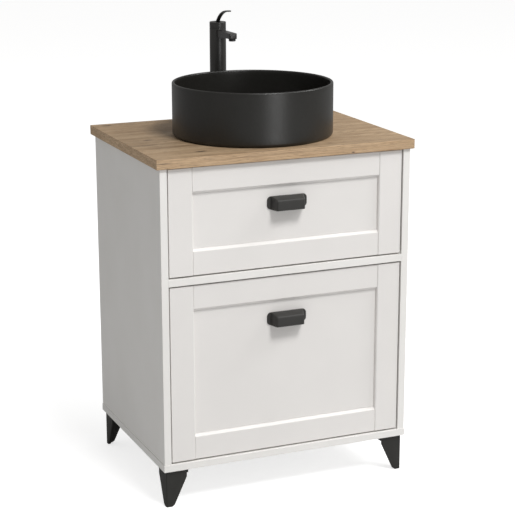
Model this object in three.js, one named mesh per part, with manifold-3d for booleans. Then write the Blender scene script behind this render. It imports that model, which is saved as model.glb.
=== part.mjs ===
// Bathroom vanity with two drawers, an oak-look worktop, a round vessel basin and a tall lever tap.
// Millimetres. X runs to the right, Y towards the wall, Z up. The floor is Z = 0, and Y = 0 lies
// half-way between the front of the drawer pulls and the rear edge of the worktop.
import * as THREE from 'three';
import { mergeVertices } from 'three/addons/utils/BufferGeometryUtils.js';
import Module from 'manifold-3d';

// ---- Driving dimensions ----

const BOARD = 16; // thickness of the carcass boards
const GAP = 0.3; // clearance where one piece is cut to pass another
const ROUND = 48; // facets of a visible round piece
const FINE_ROUND = 72; // facets of the basin
const SMALL_ROUND = 24; // facets of a small or hidden round piece

const FOOT = { height: 84, arm: 48, wall: 5, shoulder: 18, toe: 17, toeCut: 4, inset: 6 };
const FOOT_PLATE = { side: 52, thick: 9 };
const CARCASS = { width: 584, depth: 437, height: 654 };
const BASE_LIP = 1.3; // the bottom panel stands proud of the sides and front by this
const MIDDLE_RAIL_DEPTH = 80;
const STRETCHER = { setback: 22, width: 70 };
const WALL_RAIL = { low: 652, high: 728 };
const BACK_BOARD = { thick: 4, inset: 4 };
const WORKTOP = { width: 600, depth: 453, thick: 21, overhang: 5.3 };

const FRONT_FACE = { thick: 18, recess: 2.5, sideGap: 3, rowGap: 3.5, stile: 54.5, rail: 56.5 };
const RAIL_SETBACK = 1.2; // the rails lie this far behind the face of the stiles
const STILE_CHAMFER = 2; // chamfer down the inner edge of a stile
const RAIL_BEVEL = 5.5; // 45 degree bevel along the inner edge of a rail
const PANEL = { setback: 8, thick: 8, play: 0.2 };
const UPPER_FRONT = { low: 519.3, high: 751.5, pullTop: 673.5 };
const LOWER_FRONT = { low: 103.5, high: 496.3, pullTop: 414.8 };

const PULL = { width: 93, height: 28.7, plate: 2.5, reach: 24.8, wall: 2.6, corner: 9 };
const HOOD = { root: 78, nose: 65, corner: 5, shoulder: 7, slope: 0.33, browRound: 4.2, shoulderRound: 1.5 };

const DRAWER = { board: 12, length: 387.5, runnerGap: 13, base: 8, baseUp: 6 };
const UPPER_BOX = { low: 535, high: 685 };
const LOWER_BOX = { low: 118, high: 318 };
const TRAP_BAY = { halfWidth: 78, front: 117, wall: 3, corner: 30, height: 130 };
const RUNNER = { length: 400, start: 22, depth: 8, height: 45, wall: 1.5, tongue: 9, tongueHeight: 33 };
const UPPER_RUNNER_Z = 562;
const LOWER_RUNNER_Z = 162;

const BASIN = { fromRear: 250, radius: 179, height: 118, wall: 6.5, floor: 12, drain: 22.5 };
const BASIN_ROUND = { foot: 8, bowl: 26 }; // radii at the foot of the wall, outside and inside
const DRAIN_SEAT = { step: 4, slope: 2, room: 4 }; // the drain's seat is a shallow step in the floor
const WASTE = { flange: 32, flangeThick: 3, tube: 20.5, bore: 16, tubeLength: 62, funnel: 6 };
const PLUG = { radius: 29.5, rise: 10, stem: 5, stemLength: 22, clear: 0.4 };
const WASTE_NUT = { radius: 30, washer: 3, thick: 10, clear: 0.2 };
const TRAP = { pipe: 16, pipeWall: 1.6, neck: 22, neckHeight: 8, neckDepth: 12, headTop: 668, outletZ: 630 };
const TRAP_HEAD = { radius: 35, wall: 5, low: 22, shoulder: 14, lip: 6 };
const TRAP_CUP = { radius: 31, wall: 2.5, bottom: 566, topDrop: 8, corner: 8 };
const TRAP_SOCKET = { length: 27, pipeStart: 40 };
const TAP = { fromRear: 44, radius: 19, columnTop: 214, capTop: 227.5, seam: 0.4, edge: 1, hole: 17.5 };
const TAP_BASE = { radius: 23.5, height: 4, edge: 1.5 };
const SPOUT = { reach: 97, halfWidth: 9.5, top: 210, tipBottom: 197.2, rootBottom: 191.5, outlet: 88 };
const SPOUT_SHAPE = { tipFlat: 20, noseRound: 7, noseDrop: 5, cornerRound: 4 };
const AERATOR = { radius: 7.8, bore: 5, drop: 5, recess: 3 };
const LEVER = { width: 9, thick: 4, tipThick: 3, pivot: 219, boss: 3.8, stemOffset: 0.6 };
const LEVER_CURVE = { bend: [-24, 257], tip: [-72, 258] }; // [forward, up] of the curve's last two points
const LEVER_SLOT = { play: 0.8, front: -11, rear: 10 };
const SHANK = { radius: 14, length: 52, nut: 20, nutHeight: 8 };
const PAST = 5; // how far a cutting tool runs past the piece

// ---- Places worked out from them ----

const FRONT_BACK = FRONT_FACE.recess + FRONT_FACE.thick; // from the carcass front to a drawer box
const PULL_PROUD = PULL.reach - PANEL.setback - FRONT_FACE.recess; // from a pull to the carcass front
const FRONT_Y = (PULL_PROUD + WORKTOP.overhang - WORKTOP.depth) / 2; // front edges of the carcass
const REAR_Y = FRONT_Y + CARCASS.depth;
const WORKTOP_REAR_Y = FRONT_Y - WORKTOP.overhang + WORKTOP.depth;
const SIDE_X = CARCASS.width / 2;
const INSIDE_X = SIDE_X - BOARD;
const FLOOR_Z = FOOT.height + BOARD; // upper face of the bottom panel
const CARCASS_TOP = FLOOR_Z + CARCASS.height;
const WORKTOP_TOP = CARCASS_TOP + WORKTOP.thick;
const MIDDLE_LOW = LOWER_FRONT.high + FRONT_FACE.rowGap; // middle rail between the drawers
const BASIN_Y = WORKTOP_REAR_Y - BASIN.fromRear;
const TAP_Y = WORKTOP_REAR_Y - TAP.fromRear;
const FRONT_HALF = INSIDE_X - FRONT_FACE.sideGap; // half the width of a drawer front
const BOX_HALF = INSIDE_X - DRAWER.runnerGap; // half the outer width of a drawer box

// ---- Finishes ----

function finish(color, roughness, metalness = 0) {
  return new THREE.MeshStandardMaterial({ color, roughness, metalness });
}

const FINISH = {
  whiteFront: finish(0xe1deda, 0.45),
  whiteBoard: finish(0xdedcd7, 0.5),
  oak: finish(0xb89a78, 0.6),
  blackCeramic: finish(0x282723, 0.45),
  blackMetal: finish(0x32302d, 0.45, 0.3),
  blackTap: finish(0x262524, 0.4, 0.3),
  drawerBoard: finish(0xd8d6d0, 0.6),
  zinc: finish(0xa9abad, 0.35, 0.9),
  whitePlastic: finish(0xe6e6e4, 0.4),
  greyPlastic: finish(0x8d8f90, 0.5),
  brass: finish(0xb59a5a, 0.35, 0.9),
  rubber: finish(0x222222, 0.8),
};

// ---- Joining and cutting ----

const wasm = await Module();
wasm.setup();

function solid(geometry) {
  const bare = geometry.index ? geometry.toNonIndexed() : geometry.clone();
  bare.deleteAttribute('normal');
  bare.deleteAttribute('uv');
  const merged = mergeVertices(bare, 1e-4);
  return new wasm.Manifold(new wasm.Mesh({
    numProp: 3,
    vertProperties: new Float32Array(merged.attributes.position.array),
    triVerts: new Uint32Array(merged.index.array),
  }));
}

function geometryOf(body) {
  const mesh = body.getMesh();
  const geometry = new THREE.BufferGeometry();
  geometry.setAttribute('position', new THREE.BufferAttribute(new Float32Array(mesh.vertProperties), 3));
  geometry.setIndex(new THREE.BufferAttribute(new Uint32Array(mesh.triVerts), 1));
  geometry.computeVertexNormals();
  return geometry;
}

function join(...geometries) {
  return geometryOf(geometries.map(solid).reduce((all, next) => all.add(next)));
}

function cut(geometry, ...tools) {
  return geometryOf(tools.map(solid).reduce((left, tool) => left.subtract(tool), solid(geometry)));
}

function common(a, b) {
  return geometryOf(solid(a).intersect(solid(b)));
}

// ---- Basic shapes ----

const shapeOf = (points) => new THREE.Shape(points.map(([u, v]) => new THREE.Vector2(u, v)));

// A block between two corners.
function block([x0, y0, z0], [x1, y1, z1]) {
  return new THREE.BoxGeometry(x1 - x0, y1 - y0, z1 - z0)
    .translate((x0 + x1) / 2, (y0 + y1) / 2, (z0 + z1) / 2);
}

// An outline in the X-Y plane, raised from z0 to z1.
function raised(shape, z0, z1, curveSegments = 6) {
  return new THREE.ExtrudeGeometry(shape, { depth: z1 - z0, bevelEnabled: false, curveSegments })
    .translate(0, 0, z0);
}

// An outline in the Y-Z plane, drawn out along X from x0 to x1.
const ALONG_X = new THREE.Matrix4().makeBasis(
  new THREE.Vector3(0, 1, 0), new THREE.Vector3(0, 0, 1), new THREE.Vector3(1, 0, 0));
function drawnAlongX(shape, x0, x1, curveSegments = 6) {
  return new THREE.ExtrudeGeometry(shape, { depth: x1 - x0, bevelEnabled: false, curveSegments })
    .applyMatrix4(ALONG_X).translate(x0, 0, 0);
}

// An outline in the X-Z plane, drawn out along Y from y0 to y1.
function drawnAlongY(shape, y0, y1, curveSegments = 6) {
  return new THREE.ExtrudeGeometry(shape, { depth: y1 - y0, bevelEnabled: false, curveSegments })
    .rotateX(Math.PI / 2).translate(0, y1, 0);
}

// A profile of [radius, height] points turned about Z; it ends on the axis or closes on itself.
function turned(profile, segments = ROUND) {
  return new THREE.LatheGeometry(profile.map(([r, z]) => new THREE.Vector2(r, z)), segments)
    .rotateX(Math.PI / 2);
}

function disc(radius, z0, z1, segments = ROUND) {
  return turned([[0, z0], [radius, z0], [radius, z1], [0, z1]], segments);
}

function ring(inner, outer, z0, z1, segments = ROUND) {
  return turned([[inner, z0], [outer, z0], [outer, z1], [inner, z1], [inner, z0]], segments);
}

// A rectangle with rounded corners, centred on the origin, as an outline.
function roundedRectangle(width, height, radius) {
  const [w, h] = [width / 2, height / 2];
  const shape = new THREE.Shape();
  shape.absarc(w - radius, h - radius, radius, 0, Math.PI / 2);
  shape.absarc(-w + radius, h - radius, radius, Math.PI / 2, Math.PI);
  shape.absarc(-w + radius, -h + radius, radius, Math.PI, 1.5 * Math.PI);
  shape.absarc(w - radius, -h + radius, radius, 1.5 * Math.PI, 2 * Math.PI);
  shape.closePath();
  return shape;
}

function piece(name, geometry, material, [x, y, z] = [0, 0, 0]) {
  const mesh = new THREE.Mesh(geometry, material);
  mesh.name = name;
  mesh.position.set(x, y, z);
  return mesh;
}

// ---- Carcass: 16 mm boards, open at the back behind the upper drawer ----

function carcass() {
  const group = new THREE.Group();
  const board = (name, low, high) => group.add(piece(name, block(low, high), FINISH.whiteBoard));
  for (const [name, side] of [['left', -1], ['right', 1]]) {
    const [inner, outer] = [side * INSIDE_X, side * SIDE_X];
    board(`${name}_side_panel`, [Math.min(inner, outer), FRONT_Y, FLOOR_Z],
      [Math.max(inner, outer), REAR_Y, CARCASS_TOP]);
  }
  board('bottom_panel', [-SIDE_X - BASE_LIP, FRONT_Y - BASE_LIP, FOOT.height],
    [SIDE_X + BASE_LIP, REAR_Y, FLOOR_Z]);
  board('middle_rail', [-INSIDE_X, FRONT_Y, MIDDLE_LOW],
    [INSIDE_X, FRONT_Y + MIDDLE_RAIL_DEPTH, MIDDLE_LOW + BOARD]);
  const stretcherY = FRONT_Y + STRETCHER.setback;
  board('front_stretcher', [-INSIDE_X, stretcherY, CARCASS_TOP - BOARD],
    [INSIDE_X, stretcherY + STRETCHER.width, CARCASS_TOP]);
  board('wall_rail', [-INSIDE_X, REAR_Y - BOARD, WALL_RAIL.low], [INSIDE_X, REAR_Y, WALL_RAIL.high]);
  const backY = REAR_Y - BACK_BOARD.inset;
  board('back_board', [-INSIDE_X, backY - BACK_BOARD.thick, FLOOR_Z], [INSIDE_X, backY, MIDDLE_LOW + BOARD]);
  return group;
}

// ---- Feet: an angle of two tapered arms under a square plate, one at each corner ----

function foot(name, x, y, turns) {
  const { height, arm, wall, shoulder, toe, toeCut } = FOOT;
  const { side, thick } = FOOT_PLATE;
  const cutEnd = toe + (arm - toe) * toeCut / (height - shoulder);
  const armShape = shapeOf([[0, 0], [toe - toeCut, 0], [cutEnd, toeCut], [arm, height - shoulder],
    [arm, height], [0, height]]);
  const angle = join(
    drawnAlongY(armShape, 0, wall),
    drawnAlongX(armShape, 0, wall),
    block([0, 0, height - thick], [side, side, height]),
  );
  const mesh = piece(name, angle, FINISH.blackMetal, [x, y, 0]);
  mesh.rotation.z = turns * Math.PI / 2;
  return mesh;
}

function feet() {
  const x = SIDE_X + BASE_LIP - FOOT.inset;
  const front = FRONT_Y - BASE_LIP + FOOT.inset;
  const rear = REAR_Y - FOOT.inset;
  const group = new THREE.Group();
  group.add(foot('foot_front_left', -x, front, 0));
  group.add(foot('foot_front_right', x, front, 1));
  group.add(foot('foot_rear_right', x, rear, 2));
  group.add(foot('foot_rear_left', -x, rear, 3));
  return group;
}

// ---- Worktop, with a hole for the waste and one for the tap ----

function worktop() {
  const slab = block([-WORKTOP.width / 2, WORKTOP_REAR_Y - WORKTOP.depth, CARCASS_TOP],
    [WORKTOP.width / 2, WORKTOP_REAR_Y, WORKTOP_TOP]);
  const hole = (radius, y) => disc(radius, CARCASS_TOP - PAST, WORKTOP_TOP + PAST, SMALL_ROUND)
    .translate(0, y, 0);
  return piece('worktop', cut(slab, hole(BASIN.drain, BASIN_Y), hole(TAP.hole, TAP_Y)), FINISH.oak);
}

// ---- Drawer fronts: two full-height stiles, two bevelled rails and a set-back panel ----

// Y = 0 is the face of the stiles and Z = 0 the lower edge.
function drawerFront(prefix, height) {
  const { thick, stile, rail } = FRONT_FACE;
  const group = new THREE.Group();
  const opening = FRONT_HALF - stile;
  for (const [name, side] of [['left', -1], ['right', 1]]) {
    const plan = shapeOf([[side * FRONT_HALF, 0], [side * (opening + STILE_CHAMFER), 0],
      [side * opening, STILE_CHAMFER], [side * opening, thick], [side * FRONT_HALF, thick]]);
    group.add(piece(`${prefix}_${name}_stile`, raised(plan, 0, height), FINISH.whiteFront));
  }
  const length = opening - PANEL.play / 2;
  const edge = rail - RAIL_BEVEL;
  for (const [name, inward, z] of [['bottom', 1, 0], ['top', -1, height]]) {
    const railSection = shapeOf([[RAIL_SETBACK, 0], [thick, 0], [thick, inward * rail],
      [RAIL_SETBACK + RAIL_BEVEL, inward * rail], [RAIL_SETBACK, inward * edge]]);
    group.add(piece(`${prefix}_${name}_rail`, drawnAlongX(railSection, -length, length),
      FINISH.whiteFront, [0, 0, z]));
  }
  group.add(piece(`${prefix}_centre_panel`,
    block([-length, PANEL.setback, rail + PANEL.play],
      [length, PANEL.setback + PANEL.thick, height - rail - PANEL.play]), FINISH.whiteFront));
  return group;
}

// ---- Cup pull: a thin back plate and a hood that is open underneath ----

// Outline of the hood from the side: the top is level at the plate, then slopes down to a rounded brow.
function hoodSide(out, top, low) {
  const { shoulder, slope, browRound, shoulderRound } = HOOD;
  const brow = top - slope * (out - shoulder);
  const shape = new THREE.Shape();
  shape.moveTo(-PULL.plate / 2, low);
  shape.lineTo(-out, low);
  shape.lineTo(-out, brow - browRound);
  shape.quadraticCurveTo(-out, brow, -out + browRound, brow + slope * browRound);
  shape.lineTo(-shoulder - shoulderRound, top - slope * shoulderRound);
  shape.quadraticCurveTo(-shoulder, top, -shoulder + shoulderRound, top);
  shape.lineTo(-PULL.plate / 2, top);
  return shape;
}

// Outline of the hood from above: the sides draw in from the root to rounded corners at the nose.
function hoodPlan(root, nose, out) {
  const { corner } = HOOD;
  const turn = nose + (root - nose) * corner / out;
  const shape = new THREE.Shape();
  shape.moveTo(-root, 0);
  shape.lineTo(-turn, -out + corner);
  shape.quadraticCurveTo(-nose, -out, -nose + corner, -out);
  shape.lineTo(nose - corner, -out);
  shape.quadraticCurveTo(nose, -out, turn, -out + corner);
  shape.lineTo(root, 0);
  return shape;
}

// Y = 0 is the panel behind it, and Z = 0 the top edge.
function pull(name) {
  const { width, height, plate, reach, wall, corner } = PULL;
  const backPlate = drawnAlongY(roundedRectangle(width, height, corner), -plate, 0, 5)
    .translate(0, 0, -height / 2);
  const hood = (shrink, low) => common(
    drawnAlongX(hoodSide(reach - shrink, -shrink, low), -width, width, 5),
    raised(hoodPlan(HOOD.root / 2 - shrink, HOOD.nose / 2 - shrink, reach - shrink), -2 * height, height, 5),
  );
  const inFrontOfPlate = block([-width, -2 * reach, -2 * height], [width, -plate, height]);
  const fingerSpace = common(hood(wall, -height - PAST), inFrontOfPlate);
  const cup = cut(join(backPlate, hood(0, -height)), fingerSpace);
  return piece(name, cup, FINISH.blackMetal, [0, PANEL.setback, 0]);
}

// ---- Drawer boxes ----

// Y = 0 is the back of the drawer front. The upper box has a bay for the trap, open to the wall.
function drawerBox(prefix, { low, high }, withTrapBay) {
  const { board, length, base, baseUp } = DRAWER;
  const group = new THREE.Group();
  const add = (name, geometry) => group.add(piece(`${prefix}_${name}`, geometry, FINISH.drawerBoard));
  const inner = BOX_HALF - board;
  const floor = low + baseUp;
  add('left_side', block([-BOX_HALF, 0, low], [-inner, length, high]));
  add('right_side', block([inner, 0, low], [BOX_HALF, length, high]));
  const bottom = block([-inner, 0, floor], [inner, length - board, floor + base]);
  if (!withTrapBay) {
    add('bottom', bottom);
    add('back', block([-inner, length - board, floor], [inner, length, high]));
    return group;
  }
  const { halfWidth, front, wall, corner, height } = TRAP_BAY;
  const start = front - FRONT_BACK;
  const bay = (half, from, to, radius) => {
    const shape = new THREE.Shape();
    shape.moveTo(-half, to);
    shape.lineTo(-half, from + radius);
    shape.absarc(-half + radius, from + radius, radius, Math.PI, 1.5 * Math.PI);
    shape.absarc(half - radius, from + radius, radius, 1.5 * Math.PI, 2 * Math.PI);
    shape.lineTo(half, to);
    return shape;
  };
  const cutOut = raised(bay(halfWidth + GAP, start - GAP, length + PAST, corner + GAP),
    floor - PAST, floor + base + PAST, 5);
  add('bottom', cut(bottom, cutOut));
  add('back_left', block([-inner, length - board, floor], [-halfWidth - GAP, length, high]));
  add('back_right', block([halfWidth + GAP, length - board, floor], [inner, length, high]));
  const outside = raised(bay(halfWidth, start, length, corner), floor, floor + height, 5);
  const inside = raised(bay(halfWidth - wall, start + wall, length + PAST, corner - wall),
    floor - PAST, floor + height + PAST, 5);
  group.add(piece(`${prefix}_trap_bay`, cut(outside, inside), FINISH.greyPlastic));
  return group;
}

// ---- Runners: a channel on the carcass side and a narrower one on the drawer, running inside it ----

// Outline of a channel whose web stands at webX and whose flanges reach out to edgeX.
function channel(webX, edgeX, halfHeight) {
  const wall = RUNNER.wall;
  const webInside = webX + Math.sign(edgeX - webX) * wall;
  return shapeOf([[webX, -halfHeight], [edgeX, -halfHeight], [edgeX, wall - halfHeight],
    [webInside, wall - halfHeight], [webInside, halfHeight - wall],
    [edgeX, halfHeight - wall], [edgeX, halfHeight], [webX, halfHeight]]);
}

function runners(prefix, z) {
  const { length, start, depth, height, tongue, tongueHeight } = RUNNER;
  const drawerLength = DRAWER.length - start + FRONT_BACK;
  const fixed = new THREE.Group();
  const moving = new THREE.Group();
  for (const [name, side] of [['left', -1], ['right', 1]]) {
    const outer = channel(side * INSIDE_X, side * (INSIDE_X - depth), height / 2);
    fixed.add(piece(`${prefix}_${name}_cabinet_runner`, drawnAlongY(outer, 0, length), FINISH.zinc,
      [0, FRONT_Y + start, z]));
    const inner = channel(side * BOX_HALF, side * (BOX_HALF + tongue), tongueHeight / 2);
    moving.add(piece(`${prefix}_${name}_drawer_runner`, drawnAlongY(inner, 0, drawerLength),
      FINISH.zinc, [0, FRONT_Y + start, z]));
  }
  return [fixed, moving];
}

function drawer(prefix, front, box, withTrapBay) {
  const group = new THREE.Group();
  const face = drawerFront(prefix, front.high - front.low);
  face.position.set(0, FRONT_Y + FRONT_FACE.recess, front.low);
  const handle = pull(`${prefix}_pull`);
  handle.position.add(new THREE.Vector3(0, FRONT_Y + FRONT_FACE.recess, front.pullTop));
  const body = drawerBox(prefix, box, withTrapBay);
  body.position.set(0, FRONT_Y + FRONT_BACK, 0);
  group.add(face, handle, body);
  return group;
}

// ---- Basin: a straight-walled round vessel with a flat base, a rounded rim and a drain seat ----

// Points of an arc about (r, z) from one angle to another, in quarter turns.
function arc(r, z, radius, from, to, steps) {
  return Array.from({ length: steps + 1 }, (_, i) => {
    const angle = (from + (to - from) * i / steps) * Math.PI / 2;
    return [r + radius * Math.cos(angle), z + radius * Math.sin(angle)];
  });
}

const SEAT_Z = BASIN.floor - DRAIN_SEAT.step; // height of the drain's seat above the worktop

function basin() {
  const { radius, height, wall, floor, drain } = BASIN;
  const { foot, bowl } = BASIN_ROUND;
  const seat = WASTE.flange + DRAIN_SEAT.room;
  const profile = [
    [drain, 0],
    ...arc(radius - foot, foot, foot, -1, 0, 4),
    ...arc(radius - wall / 2, height - wall / 2, wall / 2, 0, 2, 4),
    ...arc(radius - wall - bowl, floor + DRAIN_SEAT.slope + bowl, bowl, 0, -1, 5),
    [seat + DRAIN_SEAT.slope, floor - DRAIN_SEAT.slope],
    [seat, SEAT_Z],
    [drain, SEAT_Z],
    [drain, 0],
  ];
  return piece('basin', turned(profile, FINE_ROUND), FINISH.blackCeramic, [0, BASIN_Y, WORKTOP_TOP]);
}

// ---- Waste: flanged body through the basin, click-clack plug, rubber washer and back nut ----

// Z = 0 is the top of the worktop, here and in the tap.
function waste() {
  const { flange, flangeThick, tube, bore, tubeLength, funnel } = WASTE;
  const group = new THREE.Group();
  const add = (name, geometry, material) => group.add(piece(name, geometry, material));
  const low = SEAT_Z - tubeLength;
  const top = SEAT_Z + flangeThick;
  add('waste_body', turned([[bore, low], [tube, low], [tube, SEAT_Z + GAP], [flange, SEAT_Z + GAP],
    [flange, top - 1], [flange - 1.5, top], [bore + funnel / 2, top], [bore, SEAT_Z - funnel],
    [bore, low]]), FINISH.blackTap);
  const plugLow = top + PLUG.clear;
  const plugTop = SEAT_Z + PLUG.rise;
  add('waste_plug', turned([[0, SEAT_Z - PLUG.stemLength], [PLUG.stem, SEAT_Z - PLUG.stemLength],
    [PLUG.stem, plugLow], [PLUG.radius - 1.5, plugLow], [PLUG.radius, plugLow + 1.5],
    [PLUG.radius - 2.5, plugTop - 2.5], [PLUG.radius / 2, plugTop - 0.6], [0, plugTop]]), FINISH.blackTap);
  const under = -WORKTOP.thick;
  const nutTop = under - WASTE_NUT.washer - WASTE_NUT.clear;
  add('waste_washer', ring(tube + GAP, WASTE_NUT.radius, under - WASTE_NUT.washer, under, SMALL_ROUND),
    FINISH.rubber);
  add('waste_nut', cut(disc(WASTE_NUT.radius - 1, nutTop - WASTE_NUT.thick, nutTop, 8),
    disc(tube + GAP, nutTop - WASTE_NUT.thick - PAST, under, SMALL_ROUND)), FINISH.brass);
  group.position.set(0, BASIN_Y, WORKTOP_TOP);
  return group;
}

// ---- Bottle trap: tail pipe into a head, a cup screwed under the head, and a pipe to the wall ----

function trap() {
  const { pipe, pipeWall, neck, neckHeight, neckDepth, headTop, outletZ } = TRAP;
  const { radius: head, wall, low, shoulder, lip } = TRAP_HEAD;
  const { radius: cup, wall: cupWall, bottom, topDrop, corner } = TRAP_CUP;
  const group = new THREE.Group();
  const add = (name, geometry) => group.add(piece(name, geometry, FINISH.whitePlastic));
  const bore = pipe - pipeWall;
  const sidewaysDisc = (radius, y0, y1) => disc(radius, y0, y1, SMALL_ROUND)
    .rotateX(-Math.PI / 2).translate(0, 0, outletZ);

  const tailTop = WORKTOP_TOP + SEAT_Z - WASTE.tubeLength - GAP;
  add('trap_tailpipe', ring(bore, pipe, outletZ + shoulder, tailTop, SMALL_ROUND));

  const shell = turned([[cup + 1, outletZ - low], [head, outletZ - low], [head, outletZ + shoulder],
    [neck, headTop - neckHeight], [neck, headTop], [pipe + GAP, headTop], [pipe + GAP, headTop - neckDepth],
    [head - wall, outletZ + shoulder - wall], [head - wall, outletZ - lip + 2], [cup + 1, outletZ - lip],
    [cup + 1, outletZ - low]]);
  const socket = sidewaysDisc(neck, cup + GAP, cup + TRAP_SOCKET.length);
  const opening = sidewaysDisc(pipe + GAP, cup - cupWall, cup + TRAP_SOCKET.length + PAST);
  add('trap_head', cut(join(shell, socket), opening));

  const cupTop = outletZ - topDrop;
  add('trap_cup', turned([[0, bottom], [cup - corner, bottom], [cup, bottom + corner], [cup, cupTop],
    [cup - cupWall, cupTop], [cup - cupWall, bottom + corner + 1],
    [cup - corner, bottom + cupWall], [0, bottom + cupWall]]));

  const wallY = WORKTOP_REAR_Y - BASIN_Y;
  const { pipeStart } = TRAP_SOCKET;
  add('trap_outlet_pipe', cut(sidewaysDisc(pipe, pipeStart, wallY),
    sidewaysDisc(bore, pipeStart - PAST, wallY + PAST)));
  group.position.set(0, BASIN_Y, 0);
  return group;
}

// ---- Tap: column on a base ring, flat spout, and a cap that turns with the lever ----

// The bar is as deep as the spout at its tip, and deepens towards the column.
function tapSpout() {
  const { reach, halfWidth, top, tipBottom, rootBottom } = SPOUT;
  const { tipFlat, noseRound, noseDrop, cornerRound } = SPOUT_SHAPE;
  const side = new THREE.Shape();
  side.moveTo(0, top);
  side.lineTo(0, rootBottom);
  side.lineTo(-reach + tipFlat, tipBottom);
  side.lineTo(-reach, tipBottom);
  side.lineTo(-reach, top - noseDrop);
  side.quadraticCurveTo(-reach, top, -reach + noseRound, top);
  const plan = new THREE.Shape();
  plan.moveTo(-halfWidth, 0);
  plan.lineTo(-halfWidth, -reach + cornerRound);
  plan.quadraticCurveTo(-halfWidth, -reach, -halfWidth + cornerRound, -reach);
  plan.lineTo(halfWidth - cornerRound, -reach);
  plan.quadraticCurveTo(halfWidth, -reach, halfWidth, -reach + cornerRound);
  plan.lineTo(halfWidth, 0);
  const bar = common(drawnAlongX(side, -halfWidth, halfWidth),
    raised(plan, rootBottom - PAST, top + PAST));
  return cut(bar, disc(TAP.radius + GAP, rootBottom - PAST, top + PAST));
}

function tapAerator() {
  const { radius, bore, drop, recess } = AERATOR;
  const top = SPOUT.tipBottom - GAP;
  const low = SPOUT.tipBottom - drop;
  return turned([[bore, low], [radius, low], [radius, top], [0, top], [0, low + recess],
    [bore, low + recess], [bore, low]], SMALL_ROUND).translate(0, -SPOUT.outlet, 0);
}

function tapCap() {
  const { radius, columnTop, capTop, seam, edge } = TAP;
  const low = columnTop + seam;
  const body = turned([[0, low], [radius, low], [radius, capTop - edge],
    [radius - edge, capTop], [0, capTop]]);
  const halfSlot = LEVER.width / 2 + LEVER_SLOT.play;
  const slot = block([-halfSlot, LEVER_SLOT.front, low - PAST],
    [halfSlot, LEVER_SLOT.rear, capTop + PAST]);
  return cut(body, slot);
}

// The lever's centreline is a quadratic curve that rises from the cap and levels out over the spout.
function tapLever() {
  const { width, thick, tipThick, pivot, boss, stemOffset } = LEVER;
  const line = new THREE.QuadraticBezierCurve(new THREE.Vector2(0, TAP.capTop),
    new THREE.Vector2(...LEVER_CURVE.bend), new THREE.Vector2(...LEVER_CURVE.tip));
  const steps = 12;
  const stations = Array.from({ length: steps + 1 }, (_, i) => {
    const t = i / steps;
    const half = (thick + (tipThick - thick) * t) / 2;
    const along = line.getTangent(t);
    return { at: line.getPoint(t), across: new THREE.Vector2(-along.y, along.x).multiplyScalar(half) };
  });
  const upperSide = stations.map(({ at, across }) => at.clone().sub(across));
  const lowerSide = stations.map(({ at, across }) => at.clone().add(across)).reverse();
  const stem = [-thick / 2, thick / 2].map((y) => new THREE.Vector2(y + stemOffset, pivot));
  const blade = drawnAlongX(new THREE.Shape([...stem, ...upperSide, ...lowerSide]), -width / 2, width / 2);
  const hub = disc(boss, -width / 2, width / 2, 16).rotateY(Math.PI / 2).translate(0, 0, pivot);
  return join(blade, hub);
}

function tap() {
  const { radius: base, height, edge } = TAP_BASE;
  const group = new THREE.Group();
  const add = (name, geometry, material = FINISH.blackTap) => group.add(piece(name, geometry, material));
  const hole = SHANK.radius + GAP;
  add('tap_base_ring', turned([[hole, 0], [base, 0], [base, height - edge], [base - edge, height],
    [hole, height], [hole, 0]]));
  add('tap_column', disc(TAP.radius, height + GAP, TAP.columnTop));
  add('tap_spout', tapSpout());
  add('tap_aerator', tapAerator());
  add('tap_cap', tapCap());
  add('tap_lever', tapLever());
  const nutTop = -WORKTOP.thick - GAP;
  add('tap_shank', disc(SHANK.radius, -SHANK.length, height, SMALL_ROUND), FINISH.brass);
  add('tap_nut', cut(disc(SHANK.nut, nutTop - SHANK.nutHeight, nutTop, 6),
    disc(hole, nutTop - SHANK.nutHeight - PAST, nutTop + PAST, SMALL_ROUND)), FINISH.brass);
  group.position.set(0, TAP_Y, WORKTOP_TOP);
  return group;
}

// ---- The whole vanity ----

const vanity = new THREE.Group();
vanity.add(carcass(), feet(), worktop(), basin(), waste(), trap(), tap());
vanity.add(drawer('upper', UPPER_FRONT, UPPER_BOX, true));
vanity.add(drawer('lower', LOWER_FRONT, LOWER_BOX, false));
vanity.add(...runners('upper', UPPER_RUNNER_Z), ...runners('lower', LOWER_RUNNER_Z));

export default vanity;
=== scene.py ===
# Bathroom vanity: a white two-drawer unit on black feet, an oak-decor worktop, a round black vessel
# basin and a tall single-lever tap. Metres; X to the right, Y towards the wall, Z up, floor at Z = 0.
import math

import bmesh
import bpy
import numpy as np
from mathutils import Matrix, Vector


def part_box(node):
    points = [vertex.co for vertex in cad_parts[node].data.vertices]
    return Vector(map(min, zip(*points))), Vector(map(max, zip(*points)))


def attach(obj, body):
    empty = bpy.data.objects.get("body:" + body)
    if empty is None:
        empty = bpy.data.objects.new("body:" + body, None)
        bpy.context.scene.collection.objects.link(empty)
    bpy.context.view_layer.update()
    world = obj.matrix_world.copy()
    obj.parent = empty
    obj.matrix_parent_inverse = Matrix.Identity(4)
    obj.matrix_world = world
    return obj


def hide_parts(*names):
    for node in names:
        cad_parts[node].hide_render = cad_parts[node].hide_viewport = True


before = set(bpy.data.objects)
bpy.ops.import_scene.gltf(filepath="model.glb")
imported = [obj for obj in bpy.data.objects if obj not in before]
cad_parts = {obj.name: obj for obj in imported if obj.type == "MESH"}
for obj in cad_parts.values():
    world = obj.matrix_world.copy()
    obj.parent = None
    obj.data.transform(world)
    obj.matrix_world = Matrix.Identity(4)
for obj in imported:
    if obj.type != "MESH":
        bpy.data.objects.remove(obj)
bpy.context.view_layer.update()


# ---- Camera: eye a little above the basin, to the left of the unit and well in front of it ----
# A long lens, shifted so that the whole unit stands in the frame with its uprights nearly parallel.

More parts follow.
